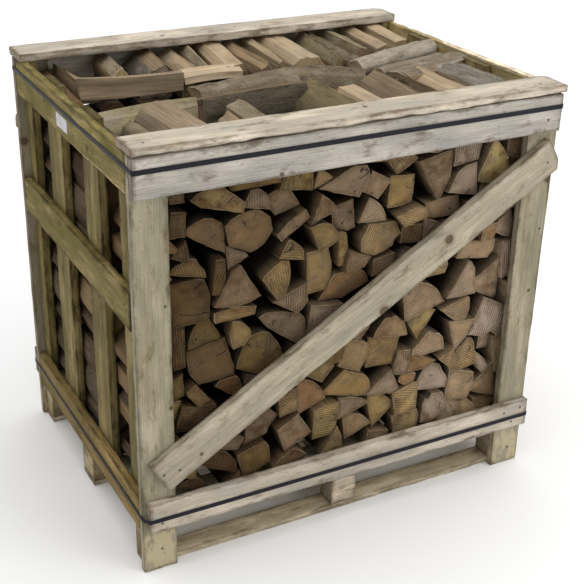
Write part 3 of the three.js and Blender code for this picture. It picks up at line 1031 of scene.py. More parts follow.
def parting_line(first, second):
    """How deep two outlines overlap, and the direction from first to second in which it is least."""
    best = None
    for one, other, sign in ((first, second, 1), (second, first, -1)):
        sides = np.roll(one, -1, axis=0) - one
        length = np.hypot(sides[:, 0], sides[:, 1])
        sides = sides[length > 1e-4] / length[length > 1e-4, None]
        normals = np.column_stack([sides[:, 1], -sides[:, 0]])
        reach = (one @ normals.T).max(axis=0)
        near = (other @ normals.T).min(axis=0)
        index = (reach - near).argmin()
        if best is None or reach[index] - near[index] < best[0]:
            best = (reach[index] - near[index], normals[index] * sign)
    return best


def keep_apart(outlines, gap, low, high, settled=0):
    """Trims every outline until none overlap.  The first settled ones give way the least."""
    for axis in (0, 1):
        for sign, wall in ((1, high[axis]), (-1, -low[axis])):
            normal = [sign * (axis == 0), sign * (axis == 1)]
            outlines = [trimmed(outline, normal, wall) for outline in outlines]
    for i in range(len(outlines)):
        for j in range(i + 1, len(outlines)):
            if len(outlines[i]) < 3 or len(outlines[j]) < 3:
                continue
            first = np.array([corner[:2] for corner in outlines[i]])
            second = np.array([corner[:2] for corner in outlines[j]])
            apart = (first.min(axis=0) > second.max(axis=0)) | (second.min(axis=0) > first.max(axis=0))
            if apart.any():
                continue
            depth, normal = parting_line(first, second)
            if depth < -2 * gap:
                continue
            share = 0.1 if i < settled <= j else 0.5
            border_first, border_second = (first @ normal).max(), (second @ normal).min()
            border = border_first + (border_second - border_first) * share
            outlines[i] = trimmed(outlines[i], normal, border - gap)
            outlines[j] = trimmed(outlines[j], -normal, -border - gap)
    return outlines


# %% [markdown]
# ## One log
# The outline is walked in even steps, swept along the log with a little taper and twist, and
# roughened by noise that is stretched along the wood.  Both ends get a worn rim and a nearly
# flat face that is sawn slightly out of square.  Every point carries its place in the tree
# and the log's tint, which in the rows of the stack also holds painted light.  One number does
# two jobs: on a sawn end it is the way to the rim, and on the sides it is below zero and says
# how deep the wood lies in the stack, which sets the painted shade of the sides.

# %% Sweep one log
NEAR_RIM, FAR_RIM = 0.0011, 0.0014   # width of the worn rim round a sawn end
END_CROWN = 0.0008
SAW_DEPTHS, SAW_CHANCES = [0.1, 0.4, 0.7, 1.0], [0.2, 0.25, 0.25, 0.3]


def walked(outline, step):
    """Evenly spaced points on an outline, each with the bark mark of its side."""
    spots, barks = [], []
    for corner, following in zip(outline, outline[1:] + outline[:1]):
        start, end = np.array(corner[:2]), np.array(following[:2])
        length = np.linalg.norm(end - start)
        if length < 0.0012:
            continue
        pieces = max(1, round(length / step))
        for share in np.arange(pieces) / pieces:
            spots.append(start + (end - start) * share)
            barks.append(corner[2])
    return np.array(spots), np.array(barks)


def split_log(heap, outline, heart, origin, along, up, length, chance, *, tint, step, rings, rough=0.0012,
              taper=0.04, bow=0.0, tilt=0.045, bark_rough=0.0016, end_detail=True, moss=0.0, stack_shade=1.0,
              crest=None, bark_kind=None):
    """Adds one log whose near end is at origin; looks are 0 sawn end, 1 split face, 2 bark.  Its
    sides get painted shade, darker the further they lie behind its near end, or below the height
    crest if that is given."""
    spots, barks = walked(outline, step)
    count = len(spots)
    if count < 5:
        return 0
    along, up = np.array(along, float), np.array(up, float)
    side = np.cross(along, up)
    middle = spots.mean(axis=0)
    seed = int(chance.integers(1, 9000))
    before, after = np.roll(spots, 1, axis=0), np.roll(spots, -1, axis=0)
    tangent = after - before
    outward = np.column_stack([tangent[:, 1], -tangent[:, 0]])
    outward /= np.maximum(np.linalg.norm(outward, axis=1, keepdims=True), 1e-9)
    levels = np.linspace(0, 1, rings)
    lean, nod = np.tan(chance.normal(0, tilt, 2))
    far_lean, far_nod = np.tan(chance.normal(0, tilt, 2))
    twist = chance.normal(0, 0.02)
    shrink = chance.uniform(0, taper)
    bend = chance.normal(0, 1, 2) * bow
    rows, coords = [], []
    for level in levels:
        angle = twist * level
        turn = np.array([[math.cos(angle), math.sin(angle)], [-math.sin(angle), math.cos(angle)]])
        section = (spots - middle) @ turn * (1 - shrink * level)
        reach = level * length
        where = np.column_stack([spots, np.full(count, reach * 0.35 + seed)])
        fine = noise(where, (95, 95, 40), seed) * 0.5 + noise(where, (38, 38, 12), seed + 1) - 0.9
        knobs = noise(where, (60, 60, 75), seed + 2) * 0.7
        coarse = knobs + noise(where, (22, 22, 25), seed + 3) * 0.7 - 0.8
        push = np.where(barks == 1, coarse * bark_rough, fine * rough)
        section = section + outward @ turn * push[:, None] + bend * math.sin(math.pi * level)
        at = reach + (lean * section[:, 0] + nod * section[:, 1]) * (1 - level)
        at = at + (far_lean * section[:, 0] + far_nod * section[:, 1]) * level
        rows.append((section, at))
        coords.append(np.column_stack([section + middle - heart, at]))
    shelf = rows[0][1].min()
    points, places, rims, faces, looks = [], [], [], [], []

    def put(section, at, place, rim):
        spot = section + middle
        points.append(origin + np.outer(spot[:, 0], side) + np.outer(spot[:, 1], up) + np.outer(at, along))
        places.append(place)
        rims.append(np.broadcast_to(np.asarray(rim, float), (len(section),)))

    def ring_faces(first, second, look):
        for i in range(count):
            j = (i + 1) % count
            faces.append((first + i, second + i, second + j, first + j))
            looks.append(look if look is not None else (2 if barks[i] else 1))

    for section, at in rows:
        # Painted shade: below is how deep a side lies behind the near end, or under the crest; it darkens the
        # split faces and bark.
        below = np.clip(crest - section[:, 1] - middle[1], 0, None) if crest else 0.015 + at
        put(section, at - shelf, np.column_stack([section + middle - heart, at]), -below * stack_shade)
    for ring in range(rings - 1):
        ring_faces(ring * count, (ring + 1) * count, None)
    total = rings * count
    size = np.sqrt(np.abs(spots - middle).max(axis=0).prod())
    for near in (True, False):
        section, at = rows[0] if near else rows[-1]
        sign = -1 if near else 1
        core = section.mean(axis=0)
        base = 0 if near else (rings - 1) * count
        previous = base
        rim_share = min((NEAR_RIM if near and end_detail else FAR_RIM) / size, 0.9)
        for share in (rim_share, 0.32, 0.68) if near and end_detail else (rim_share,):
            inner = section + (core - section) * share
            level_at = at + (inner - section) @ ((lean, nod) if near else (far_lean, far_nod))
            spots_3d = np.column_stack([inner, np.full(count, seed)])
            bump = 0 if share == rim_share else noise(spots_3d, 120, seed) * 0.0004
            put(inner, level_at - shelf + sign * (END_CROWN + bump),
                np.column_stack([inner + middle - heart, level_at]), np.linalg.norm(inner - section, axis=1))
            if near:
                ring_faces(total, previous, 0)
            else:
                ring_faces(previous, total, 0)
            previous = total
            total += count
        tip = np.array([core])
        level_at = np.array([at.mean()])
        put(tip, level_at - shelf + sign * END_CROWN, np.column_stack([tip + middle - heart, level_at]), size)
        for i in range(count):
            j = (i + 1) % count
            first, second = (i, j) if near else (j, i)
            faces.append((total, previous + first, previous + second))
            looks.append(0)
        total += 1
    places = np.concatenate(places)
    places[:, 2] += chance.uniform(0, 30)
    saw_angle = chance.uniform(0, math.pi)
    saw_depth = chance.choice(SAW_DEPTHS, p=SAW_CHANCES)
    across = places[:, :2] @ [math.cos(saw_angle), math.sin(saw_angle)]
    marks = np.column_stack([across, np.full(total, saw_depth), np.concatenate(rims)])
    kind = chance.random() if bark_kind is None else bark_kind
    heap.add(np.concatenate(points), faces, looks, place=places, saw=marks, tint=np.array(tint, float),
             growth=np.array([moss, kind, 0.0]))
    return len(faces)


# %% [markdown]
# ## Finishes for the logs
# The sawn end shows rings round the heart, ridges left by the chain saw, a darker heart, and
# a few drying cracks that run out from the heart.  The split face follows the fibres.  The
# bark is grey with furrows along the log and patches of lichen and moss.  On the split faces
# and the bark of stacked logs, painted shade darkens the wood that lies deep in the stack.

# %% Log finishes
LOG_RING_WIDTH = 0.0046
SAW_PITCH = 950.0                # radians of the saw ridges in a metre


def heart_distance(tree, place):
    u, v, _ = parts(tree, place)
    flat = shade(tree, "ShaderNodeCombineXYZ", {0: u, 1: v}).outputs[0]
    return shade(tree, "ShaderNodeVectorMath", {0: flat}, operation="LENGTH").outputs["Value"], u, v


def aged(tree, place, colour):
    """Each log's lightness, over every detail of its colour; darker wood is also browner.  In the rows of the
    stack this lightness also holds painted light.
    """
    value = parts(tree, fact(tree, "tint"))[1]
    soft = cloud(tree, stretch(tree, place, (26, 26, 9)), 1.0, 4.0)
    level = calc(tree, "MULTIPLY_ADD", value, 1.12, 0.24)
    level = calc(tree, "MULTIPLY", level, remap(tree, soft, 0.3, 0.7, 0.84, 1.14))
    warmth = ramp(tree, calc(tree, "MULTIPLY", value, 0.5), (0.07, (0.97, 0.83, 0.61)),
                  (0.48, (0.90, 0.865, 0.78)), (0.75, (0.86, 0.88, 0.90)))
    grey = shade(tree, "ShaderNodeCombineXYZ", {0: level, 1: level, 2: level}).outputs[0]
    return blend(tree, 1.0, blend(tree, 1.0, colour, warmth, "MULTIPLY"), grey, "MULTIPLY")


# Painted shade for the split faces and bark of stacked logs, taken from how deep they lie in the stack.
def painted_stack_shade(tree, colour):
    """Painted shade: wood that lies deep between its neighbours, or below the open top, is darkened as if
    shaded.
    """
    depth = parts(tree, fact(tree, "saw"))[2]
    return blend(tree, remap(tree, depth, 0.0, -0.060, 0.0, 0.93), colour, (0.012, 0.009, 0.006))


SAWN_TINTS = ((0.0, (0.320, 0.262, 0.225)), (0.3, (0.270, 0.190, 0.120)), (0.55, (0.345, 0.245, 0.140)),
              (0.8, (0.370, 0.290, 0.120)), (1.0, (0.270, 0.150, 0.078)))
SPLIT_TINTS = ((0.0, (0.235, 0.180, 0.130)), (0.35, (0.292, 0.212, 0.135)), (0.7, (0.345, 0.262, 0.168)),
               (1.0, (0.225, 0.138, 0.076)))
BARK_TINTS = ((0.0, (0.150, 0.135, 0.115)), (0.4, (0.185, 0.150, 0.115)), (0.7, (0.135, 0.098, 0.066)),
              (1.0, (0.22, 0.185, 0.14)))


def sawn_end():
    finish, tree, surface = new_finish("sawn_end", 0.85, 0.15)
    place = fact(tree, "place")
    across, depth, rim = parts(tree, fact(tree, "saw"))
    distance, u, v = heart_distance(tree, place)
    hue, _, luck = parts(tree, fact(tree, "tint"))
    colour = ramp(tree, hue, *SAWN_TINTS)
    drift = cloud(tree, stretch(tree, place, (30, 30, 1)), 1.0, 2.0)
    rings = calc(tree, "DIVIDE", calc(tree, "MULTIPLY_ADD", drift, 0.010, distance), LOG_RING_WIDTH)
    rings = calc(tree, "FRACT", rings)
    rings = ramp(tree, rings, (0.0, 0.0), (0.7, 0.5), (0.92, 1.0), (1.0, 0.0))
    faint = cloud(tree, stretch(tree, place, (14, 14, 1), (8, 1, 4)), 1.0, 2.0)
    rings = calc(tree, "MULTIPLY", rings, remap(tree, faint, 0.4, 0.65, 0.08, 0.5))
    colour = blend(tree, rings, colour, (0.11, 0.072, 0.042))
    # chain saw ridges
    waver = cloud(tree, stretch(tree, place, (16, 16, 1)), 1.0, 2.0)
    ridge = calc(tree, "MULTIPLY_ADD", waver, 6.0, calc(tree, "MULTIPLY", across, SAW_PITCH))
    ridge = calc(tree, "SINE", ridge)
    ridge = remap(tree, ridge, -1.0, 1.0)
    patchy = cloud(tree, stretch(tree, place, (34, 34, 1), (3, 3, 3)), 1.0, 3.0)
    bite = calc(tree, "MULTIPLY", depth, remap(tree, patchy, 0.32, 0.52))
    ridge = calc(tree, "MULTIPLY", calc(tree, "POWER", ridge, 1.5), bite)
    fuzz = cloud(tree, stretch(tree, place, (330, 330, 1)), 1.0, 4.0, 0.65)
    colour = blend(tree, calc(tree, "MULTIPLY", ridge, 0.85), colour, (0.060, 0.040, 0.025))
    colour = coat(tree, colour, fuzz, 0.52, 0.76, 0.5, (0.46, 0.37, 0.25))
    colour = coat(tree, colour, fuzz, 0.46, 0.24, 0.6, (0.075, 0.05, 0.03))
    # stained heart, and dirty and grey patches
    stain = cloud(tree, stretch(tree, place, (24, 24, 1), (5, 2, 0)), 1.0, 4.0, 0.6)
    grey = cloud(tree, stretch(tree, place, (19, 19, 1), (1, 7, 2)), 1.0, 4.0, 0.6)
    colour = coat(tree, colour, grey, 0.48, 0.68, 0.55, (0.20, 0.175, 0.145))
    heart = calc(tree, "MULTIPLY", remap(tree, stain, 0.46, 0.66), remap(tree, luck, 0.3, 0.9, 0.15, 0.85))
    colour = blend(tree, heart, colour, (0.115, 0.062, 0.032))
    # drying cracks: narrow wedges that run out from the heart
    angle = calc(tree, "ARCTAN2", v, u)
    polar = {0: calc(tree, "MULTIPLY", angle, 3.4), 1: calc(tree, "MULTIPLY", luck, 40.0),
             2: calc(tree, "MULTIPLY", distance, 9.0)}
    spoke = shade(tree, "ShaderNodeCombineXYZ", polar).outputs[0]
    split = cloud(tree, spoke, 1.0, 1.0)
    crack = remap(tree, calc(tree, "ABSOLUTE", calc(tree, "SUBTRACT", split, 0.5)), 0.013, 0.003)
    crack = calc(tree, "MULTIPLY", crack, remap(tree, grey, 0.54, 0.58))
    colour = blend(tree, calc(tree, "MULTIPLY", crack, 0.9), colour, (0.018, 0.012, 0.008))
    # the rim: worn pale on its very edge, a shade darker just inside
    worn = calc(tree, "MULTIPLY", remap(tree, rim, 0.0026, 0.0004), remap(tree, patchy, 0.4, 0.6, 0.1, 0.75))
    colour = coat(tree, colour, rim, 0.014, 0.002, 0.5, (0.09, 0.06, 0.036))
    colour = blend(tree, worn, colour, (0.48, 0.40, 0.28))
    tree.links.new(aged(tree, place, colour), surface.inputs["Base Color"])
    height = calc(tree, "MULTIPLY_ADD", ridge, -1.2, calc(tree, "MULTIPLY", fuzz, 1.0))
    height = calc(tree, "MULTIPLY_ADD", crack, -1.5, height)
    emboss(tree, surface, height, 0.8, 0.0014)
    return finish


def split_face():
    finish, tree, surface = new_finish("split_face", 0.85, 0.15)
    place = fact(tree, "place")
    colour = ramp(tree, parts(tree, fact(tree, "tint"))[0], *SPLIT_TINTS)
    fibre = cloud(tree, stretch(tree, place, (230, 230, 7)), 1.0, 4.0, 0.6)
    strand = cloud(tree, stretch(tree, place, (85, 85, 5.0), (1, 4, 2)), 1.0, 4.0, 0.65, 0.6)
    patch = cloud(tree, stretch(tree, place, (18, 18, 8), (4, 9, 1)), 1.0, 4.0)
    colour = coat(tree, colour, strand, 0.46, 0.7, 0.55, (0.125, 0.088, 0.055))
    colour = coat(tree, colour, fibre, 0.5, 0.78, 0.65, (0.40, 0.31, 0.20))
    colour = coat(tree, colour, fibre, 0.46, 0.24, 0.6, (0.075, 0.048, 0.028))
    colour = coat(tree, colour, patch, 0.5, 0.75, 0.6, (0.19, 0.16, 0.125))
    tree.links.new(painted_stack_shade(tree, aged(tree, place, colour)), surface.inputs["Base Color"])
    height = calc(tree, "ADD", calc(tree, "MULTIPLY", strand, 1.6), fibre)
    emboss(tree, surface, height, 0.8, 0.0016)
    return finish


def log_bark():
    finish, tree, surface = new_finish("log_bark", 0.9, 0.15)
    place = fact(tree, "place")
    moss, kind, _ = parts(tree, fact(tree, "growth"))
    colour = ramp(tree, kind, *BARK_TINTS)
    furrow = cloud(tree, stretch(tree, place, (75, 75, 22)), 1.0, 5.0, 0.65, 0.6)
    speck = cloud(tree, stretch(tree, place, (260, 260, 160)), 1.0, 3.0, 0.6)
    patch = cloud(tree, stretch(tree, place, (26, 26, 15), (7, 3, 1)), 1.0, 5.0, 0.6)
    colour = coat(tree, colour, furrow, 0.5, 0.72, 0.8, (0.050, 0.038, 0.027))
    colour = coat(tree, colour, patch, 0.52, 0.68, 0.75, (0.27, 0.255, 0.22))
    colour = coat(tree, colour, speck, 0.55, 0.75, 0.5, (0.34, 0.30, 0.24))
    colour = coat(tree, colour, speck, 0.42, 0.25, 0.5, (0.040, 0.03, 0.02))
    cover = remap(tree, calc(tree, "ADD", patch, calc(tree, "MULTIPLY", speck, 0.35)), 0.52, 0.78)
    colour = blend(tree, calc(tree, "MULTIPLY", cover, moss), colour, (0.235, 0.20, 0.085))
    tree.links.new(painted_stack_shade(tree, aged(tree, place, colour)), surface.inputs["Base Color"])
    height = calc(tree, "MULTIPLY_ADD", speck, 0.5, calc(tree, "MULTIPLY", furrow, -1.8))
    emboss(tree, surface, height, 0.9, 0.0025)
    return finish


LOG_FINISHES = [sawn_end(), split_face(), log_bark()]
print("log finishes:", [finish.name for finish in LOG_FINISHES])

# %% [markdown]
# ## The front of the stack
# The front row is what everyone sees, so its logs are laid one by one, from the top down:
# the shape, where its middle is, how wide and high it is, and which way its bark faces.
# Behind the posts and the diagonal, and in the other two rows, logs fill in by themselves.

# %% Front logs, in millimetres
FRONT_LOGS = [
    ("block", -450, 975, 45, 45, 90),
    ("half", -355, 950, 140, 80, 60),
    ("wedge", -255, 935, 75, 65, 20),
    ("slab", -255, 975, 135, 45, 95),
    ("block", -155, 960, 95, 60, 270),
    ("wedge", -85, 960, 60, 45, 60),
    ("wedge", -25, 940, 145, 100, 0),
    ("slab", 50, 975, 90, 30, 90),
    ("block", 145, 965, 105, 75, 300),
    ("block", 245, 980, 85, 35, 60),
    ("block", 330, 955, 105, 75, 90),
    ("block", 500, 950, 80, 70, 90),
    ("block", -445, 905, 60, 70, 180),
    ("block", -175, 910, 100, 80, 30),
    ("wedge", -80, 885, 75, 75, 45),
    ("block", 60, 920, 100, 80, 60),
    ("wedge", 250, 910, 120, 135, 340),
    ("wedge", 325, 890, 105, 95, 135),
    ("wedge", 415, 925, 100, 125, 20),
    ("wedge", -450, 840, 45, 65, 0),
    ("half", -375, 855, 135, 110, 60),
    ("round", -275, 855, 135, 115, 0),
    ("slab", -155, 850, 90, 80, 130),
    ("wedge", -70, 810, 95, 80, 60),
    ("block", -15, 845, 65, 85, 270),
    ("wedge", 65, 840, 95, 85, 30),
    ("block", 155, 880, 80, 85, 0),
    ("block", 170, 820, 100, 65, 20),
    ("block", 275, 820, 115, 60, 100),
    ("half", -425, 785, 95, 65, 80),
    ("slab", -355, 760, 35, 95, 0),
    ("wedge", -300, 790, 80, 90, 60),
    ("wedge", -165, 785, 80, 80, 20),
    ("slab", -20, 765, 35, 95, 0),
    ("half", 95, 775, 125, 105, 0),
    ("block", 185, 765, 60, 55, 0),
    ("wedge", 240, 775, 60, 65, 60),
    ("block", -425, 705, 105, 120, 0),
    ("wedge", -305, 735, 135, 125, 270),
    ("wedge", -205, 720, 75, 130, 350),
    ("block", -90, 720, 90, 125, 0),
    ("wedge", 25, 735, 95, 95, 300),
    ("block", 105, 695, 75, 60, 0),
    ("block", 420, 730, 65, 55, 0),
    ("wedge", 465, 740, 85, 90, 0),
    ("slab", -310, 655, 115, 35, 90),
    ("wedge", -170, 670, 125, 95, 0),
    ("half", -5, 665, 160, 100, 100),
    ("block", 270, 655, 75, 55, 0),
    ("block", 385, 685, 120, 75, 350),
    ("block", 490, 635, 80, 125, 0),
    ("block", -450, 590, 50, 125, 0),
    ("half", -385, 610, 90, 85, 90),
    ("half", -300, 600, 60, 80, 0),
    ("half", -180, 580, 130, 110, 40),
    ("wedge", -65, 600, 115, 100, 60),
    ("wedge", 350, 610, 110, 115, 20),
    ("wedge", 440, 575, 110, 140, 0),
    ("block", -370, 530, 130, 130, 0),
    ("half", -240, 530, 130, 120, 80),
    ("half", 130, 515, 105, 75, 90),
    ("wedge", 240, 565, 150, 130, 60),
    ("wedge", 335, 515, 90, 90, 0),
    ("block", 525, 515, 45, 105, 0),
    ("block", -455, 485, 40, 70, 0),
    ("block", -405, 465, 80, 75, 300),
    ("half", -320, 450, 80, 75, 60),
    ("block", 30, 450, 105, 125, 60),
    ("block", 120, 450, 125, 120, 0),
    ("wedge", 235, 495, 110, 90, 90),
    ("half", 445, 480, 145, 120, 90),
    ("block", -415, 395, 110, 80, 0),
    ("block", -65, 425, 90, 65, 60),
    ("block", 170, 400, 85, 85, 0),
    ("half", 250, 445, 115, 75, 90),
    ("wedge", 370, 445, 110, 110, 80),
    ("wedge", 480, 430, 70, 75, 0),
    ("block", -160, 365, 65, 80, 0),
    ("wedge", -85, 355, 100, 115, 60),
    ("wedge", 15, 375, 135, 105, 30),
    ("wedge", 115, 355, 115, 100, 20),
    ("round", 205, 340, 55, 45, 0),
    ("wedge", 245, 380, 100, 70, 300),
    ("wedge", 315, 380, 55, 65, 0),
    ("half", 385, 375, 115, 100, 90),
    ("slab", 445, 325, 75, 90, 45),
    ("block", 460, 390, 45, 55, 0),
    ("block", 510, 340, 45, 130, 0),
    ("block", -320, 285, 90, 60, 60),
    ("half", -235, 325, 105, 120, 0),
    ("wedge", 35, 300, 105, 70, 60),
    ("block", 195, 285, 95, 100, 0),
    ("half", 290, 315, 110, 100, 90),
    ("block", 370, 285, 105, 125, 350),
    ("wedge", 460, 265, 110, 130, 0),
    ("half", -360, 240, 110, 75, 70),
    ("block", -260, 230, 100, 105, 20),
    ("block", -140, 275, 110, 125, 30),
    ("block", -155, 195, 105, 75, 60),
    ("block", -45, 280, 90, 120, 0),
    ("wedge", -25, 215, 80, 90, 20),
    ("wedge", 55, 235, 90, 80, 60),
    ("wedge", 120, 260, 95, 115, 80),
    ("block", 205, 205, 95, 75, 0),
    ("half", 290, 240, 100, 100, 100),
    ("half", 375, 200, 135, 70, 90),
    ("half", -425, 190, 90, 60, 60),
]

# %% Fill the rest of a row
HALF_STACK = 0.5306
STACK_LOW = 0.1396
# Logs further out than BESIDE_SLATS are painted lighter, a painted highlight for the light from the side, and
# get no painted stack shade.
BESIDE_SLATS = 0.47              # logs further out than this catch the light from the side
LOG_GAP = 0.0006
OUTER_HIGH, MIDDLE_HIGH, TOP_HIGH = 1.012, 0.998, 1.0965
COURSE, COURSE_LOG = 0.088, 0.092    # step and height of the logs in the columns along the sides
FIRST_COURSE = 0.045
KINDS = ("wedge",) * 4 + ("half",) * 2 + ("block",) * 3 + ("slab",)


def fill_in(laid, high, chance, tries=4000, smallest=0.030, largest=0.058):
    """Adds logs of random kinds wherever a disc of their size still fits between the others."""
    spots = [(row[1], row[2], (row[3] + row[4]) / 4) for row in laid]
    for attempt in range(tries):
        reach = largest - (largest - smallest) * (attempt / tries) ** 0.7
        x = chance.uniform(-HALF_STACK + reach * 0.7, HALF_STACK - reach * 0.7)
        z = chance.uniform(STACK_LOW + reach * 0.7, high - reach * 0.7)
        if all((x - a) ** 2 + (z - b) ** 2 > (0.86 * (reach + c)) ** 2 for a, b, c in spots):
            spots.append((x, z, reach))
            kind = KINDS[chance.integers(len(KINDS))]
            stretch_by = chance.uniform(0.9, 1.25)
            width, height = 2.25 * reach * stretch_by, 2.25 * reach / stretch_by
            if kind == "slab" and chance.random() < 0.5:
                width, height = height * 0.6, width
            laid.append((kind, x, z, width, height, chance.uniform(0, 360)))
    return laid


def edge_columns(high, chance):
    """A column of logs against each side, with their bark towards the slats."""
    column = []
    for side in (-1, 1):
        for z in np.arange(STACK_LOW + FIRST_COURSE, high - 0.02, COURSE):
            kind = ("half", "block", "wedge", "half")[chance.integers(4)]
            across = chance.uniform(0.080, 0.100)
            turn = 0 if side > 0 else 180
            column.append((kind, side * (HALF_STACK - across / 2), z, across, COURSE_LOG, turn))
    return column


def lay_row(name, laid, settled, near, length, high, chance, pieces, step, rings, end_detail=True, swing=0.0):
    """Builds one row of logs along Y as several joined pieces from left to right."""
    fitted = [fitted_outline(kind, (x, z), w, h, turn, chance) for kind, x, z, w, h, turn in laid]
    outlines = [outline for outline, _ in fitted]
    outlines = keep_apart(outlines, LOG_GAP, (-HALF_STACK, STACK_LOW), (HALF_STACK, high), settled)
    order = np.argsort([row[1] for row in laid])
    faces = 0
    for part, chosen in enumerate(np.array_split(order, pieces)):
        heap = Heap()
        for index in chosen:
            if len(outlines[index]) < 3:
                continue
            x, z = laid[index][1:3]
            set_back = min(abs(chance.normal(0.0, 0.015)), 0.042) + 0.0015
            yaw, pitch = np.tan(np.radians(chance.normal(0, swing, 2)))
            along = np.array([yaw, 1, pitch]) / math.sqrt(1 + yaw * yaw + pitch * pitch)
            up = np.cross([1, 0, 0], along)
            up /= np.linalg.norm(up)
            middle = np.array([x, 0, z])
            start = middle + [0, near + set_back, 0] - np.cross(along, up) * x - up * z
            outer = abs(x) > BESIDE_SLATS
            # Lightness of each log: a random share plus a rise to the right and towards the bottom. The rise
            # is partly the wood's own darker tone at the upper left and partly painted light from the right
            # and from below. Logs beside the slats get a painted highlight.
            light = -0.12 + 0.92 * (x + HALF_STACK) + 0.14 * (1 - z) + chance.uniform(0, 0.34) + 0.25 * outer
            tint = (chance.random(), min(light, 1.15), chance.random())
            faces += split_log(heap, outlines[index], fitted[index][1], start, along, up,
                               length - set_back - chance.uniform(0, 0.016), chance, step=step, rings=rings,
                               tilt=0.065, end_detail=end_detail, tint=tint, stack_shade=0.0 if outer else 1.0)
        piece = heap.build(f"{name}_logs_{part + 1}", LOG_FINISHES, smooth_angle=38)
        settle(piece, "log_wood", f"logs_{name}_row")
    return faces


# %% Front row
SEED_FRONT, SEED_MIDDLE, SEED_BACK, SEED_TOP, SEED_LOOSE, SEED_SLAB = 11, 23, 37, 51, 77, 5
chance = np.random.default_rng(SEED_FRONT)
front = [(kind, x / 1000, z / 1000, w / 1000, h / 1000, turn) for kind, x, z, w, h, turn in FRONT_LOGS]
front = fill_in(front, OUTER_HIGH, chance)
count = lay_row("front", front, len(FRONT_LOGS), near=-0.4026, length=0.262, high=OUTER_HIGH, chance=chance,
                pieces=8, step=0.0085, rings=6, swing=1.3)
print("front row:", len(front), "logs,", count, "faces")

# %% Middle and back rows
chance = np.random.default_rng(SEED_MIDDLE)
columns = edge_columns(MIDDLE_HIGH, chance)
middle = fill_in(list(columns), MIDDLE_HIGH, chance)
count = lay_row("middle", middle, len(columns), near=-0.134, length=0.280, high=MIDDLE_HIGH, chance=chance,
                pieces=6, step=0.013, rings=4, end_detail=False)
print("middle row:", len(middle), "logs,", count, "faces")
chance = np.random.default_rng(SEED_BACK)
columns = edge_columns(OUTER_HIGH, chance)
back = fill_in(list(columns), OUTER_HIGH, chance)
count = lay_row("back", back, len(columns), near=0.152, length=0.250, high=OUTER_HIGH, chance=chance,
                pieces=8, step=0.0085, rings=5)
print("back row:", len(back), "logs,", count, "faces")

# %% [markdown]
# ## The top layer
# The uppermost logs are seen from above, along their whole length, so each is laid one by one.
# On the two outer rows they lie along the crate's depth, with one end under a cap, and
# their sections are given corner by corner: ridges up, slabs leaning on each other.  The
# loose ones in the middle lie across them.

# %% Top logs of the outer rows, in millimetres
# near Y, far Y, rise of the far end, (hue, lightness, luck), moss, bark kind,
# then the corners of the section: (x, z, 1 if the side after it is bark)
TOP_LOGS_FRONT = [
    (-400, -110, 0, (0.6, 0.9, 0.3), 0.3, 0.9,
     [(-529, 1002, 0), (-500, 1002, 0), (-496, 1044, 1), (-512, 1066, 1), (-529, 1056, 0)]),
    (-400, -150, 0, (0.5, 1.0, 0.5), 0.3, 0.4,
     [(-494, 1000, 0), (-430, 1000, 0), (-424, 1040, 1), (-440, 1068, 1), (-466, 1080, 1), (-486, 1064, 1),
      (-496, 1030, 1)]),
    (-400, -75, 0, (0.05, 1.25, 0.3), 0.0, 0.0,
     [(-412, 1002, 0), (-300, 1002, 0), (-294, 1050, 0), (-316, 1086, 0), (-352, 1096, 0), (-394, 1082, 0),
      (-416, 1048, 0)]),
    (-400, -185, 0, (0.55, 1.3, 0.2), 0.0, 0.4,
     [(-284, 1004, 0), (-222, 1004, 0), (-224, 1056, 0), (-248, 1090, 0), (-280, 1060, 0)]),
    (-400, -130, 0, (0.6, 1.2, 0.4), 0.3, 1.0,
     [(-212, 1008, 0), (-150, 1008, 0), (-144, 1058, 1), (-172, 1094, 1), (-206, 1072, 1)]),
    (-400, -200, 0, (0.4, 0.4, 0.4), 0.0, 0.4,
     [(-140, 1000, 0), (-40, 1000, 0), (-46, 1028, 0), (-92, 1044, 0), (-134, 1034, 0)]),
    (-398, -170, 0, (0.4, 0.4, 0.4), 0.0, 0.4,
     [(-34, 994, 0), (80, 994, 0), (80, 1036, 0), (34, 1022, 0), (-32, 1006, 0)]),
    (-398, -160, 0, (0.4, 0.4, 0.4), 0.0, 0.4,
     [(-300, 994, 0), (-216, 994, 0), (-216, 1010, 0), (-300, 1010, 0)]),
    (-400, -38, 0, (0.75, 0.8, 0.3), 0.55, 1.0,
     [(-32, 1018, 0), (-8, 1004, 0), (84, 1080, 0), (72, 1096, 1)]),
    (-400, -145, 0, (0.5, 1.5, 0.3), 0.0, 0.4,
     [(82, 1000, 0), (160, 1000, 0), (162, 1070, 0), (148, 1093, 0), (102, 1090, 0), (84, 1056, 0)]),
    (-400, -45, 0, (0.0, 1.05, 0.6), 0.0, 0.3,
     [(158, 1024, 0), (262, 1004, 0), (268, 1066, 0), (257, 1096, 0)]),
    (-400, -108, 0, (0.3, 0.9, 0.5), 0.0, 0.7,
     [(290, 1010, 0), (324, 1010, 0), (320, 1078, 0), (311, 1095, 1), (293, 1062, 1)]),
    (-400, -70, 0, (0.6, 1.5, 0.4), 0.0, 0.4,
     [(334, 1012, 0), (402, 1004, 0), (408, 1066, 0), (398, 1096, 0), (352, 1074, 0)]),
    (-400, -80, 0, (0.0, 1.2, 0.4), 0.0, 0.0,
     [(424, 1064, 0), (529, 1068, 0), (529, 1092, 1), (480, 1096, 1), (430, 1088, 0)]),
    (-400, -165, 0, (0.5, 0.7, 0.4), 0.0, 0.4,
     [(415, 1000, 0), (529, 1000, 0), (529, 1060, 0), (418, 1054, 0)]),
]
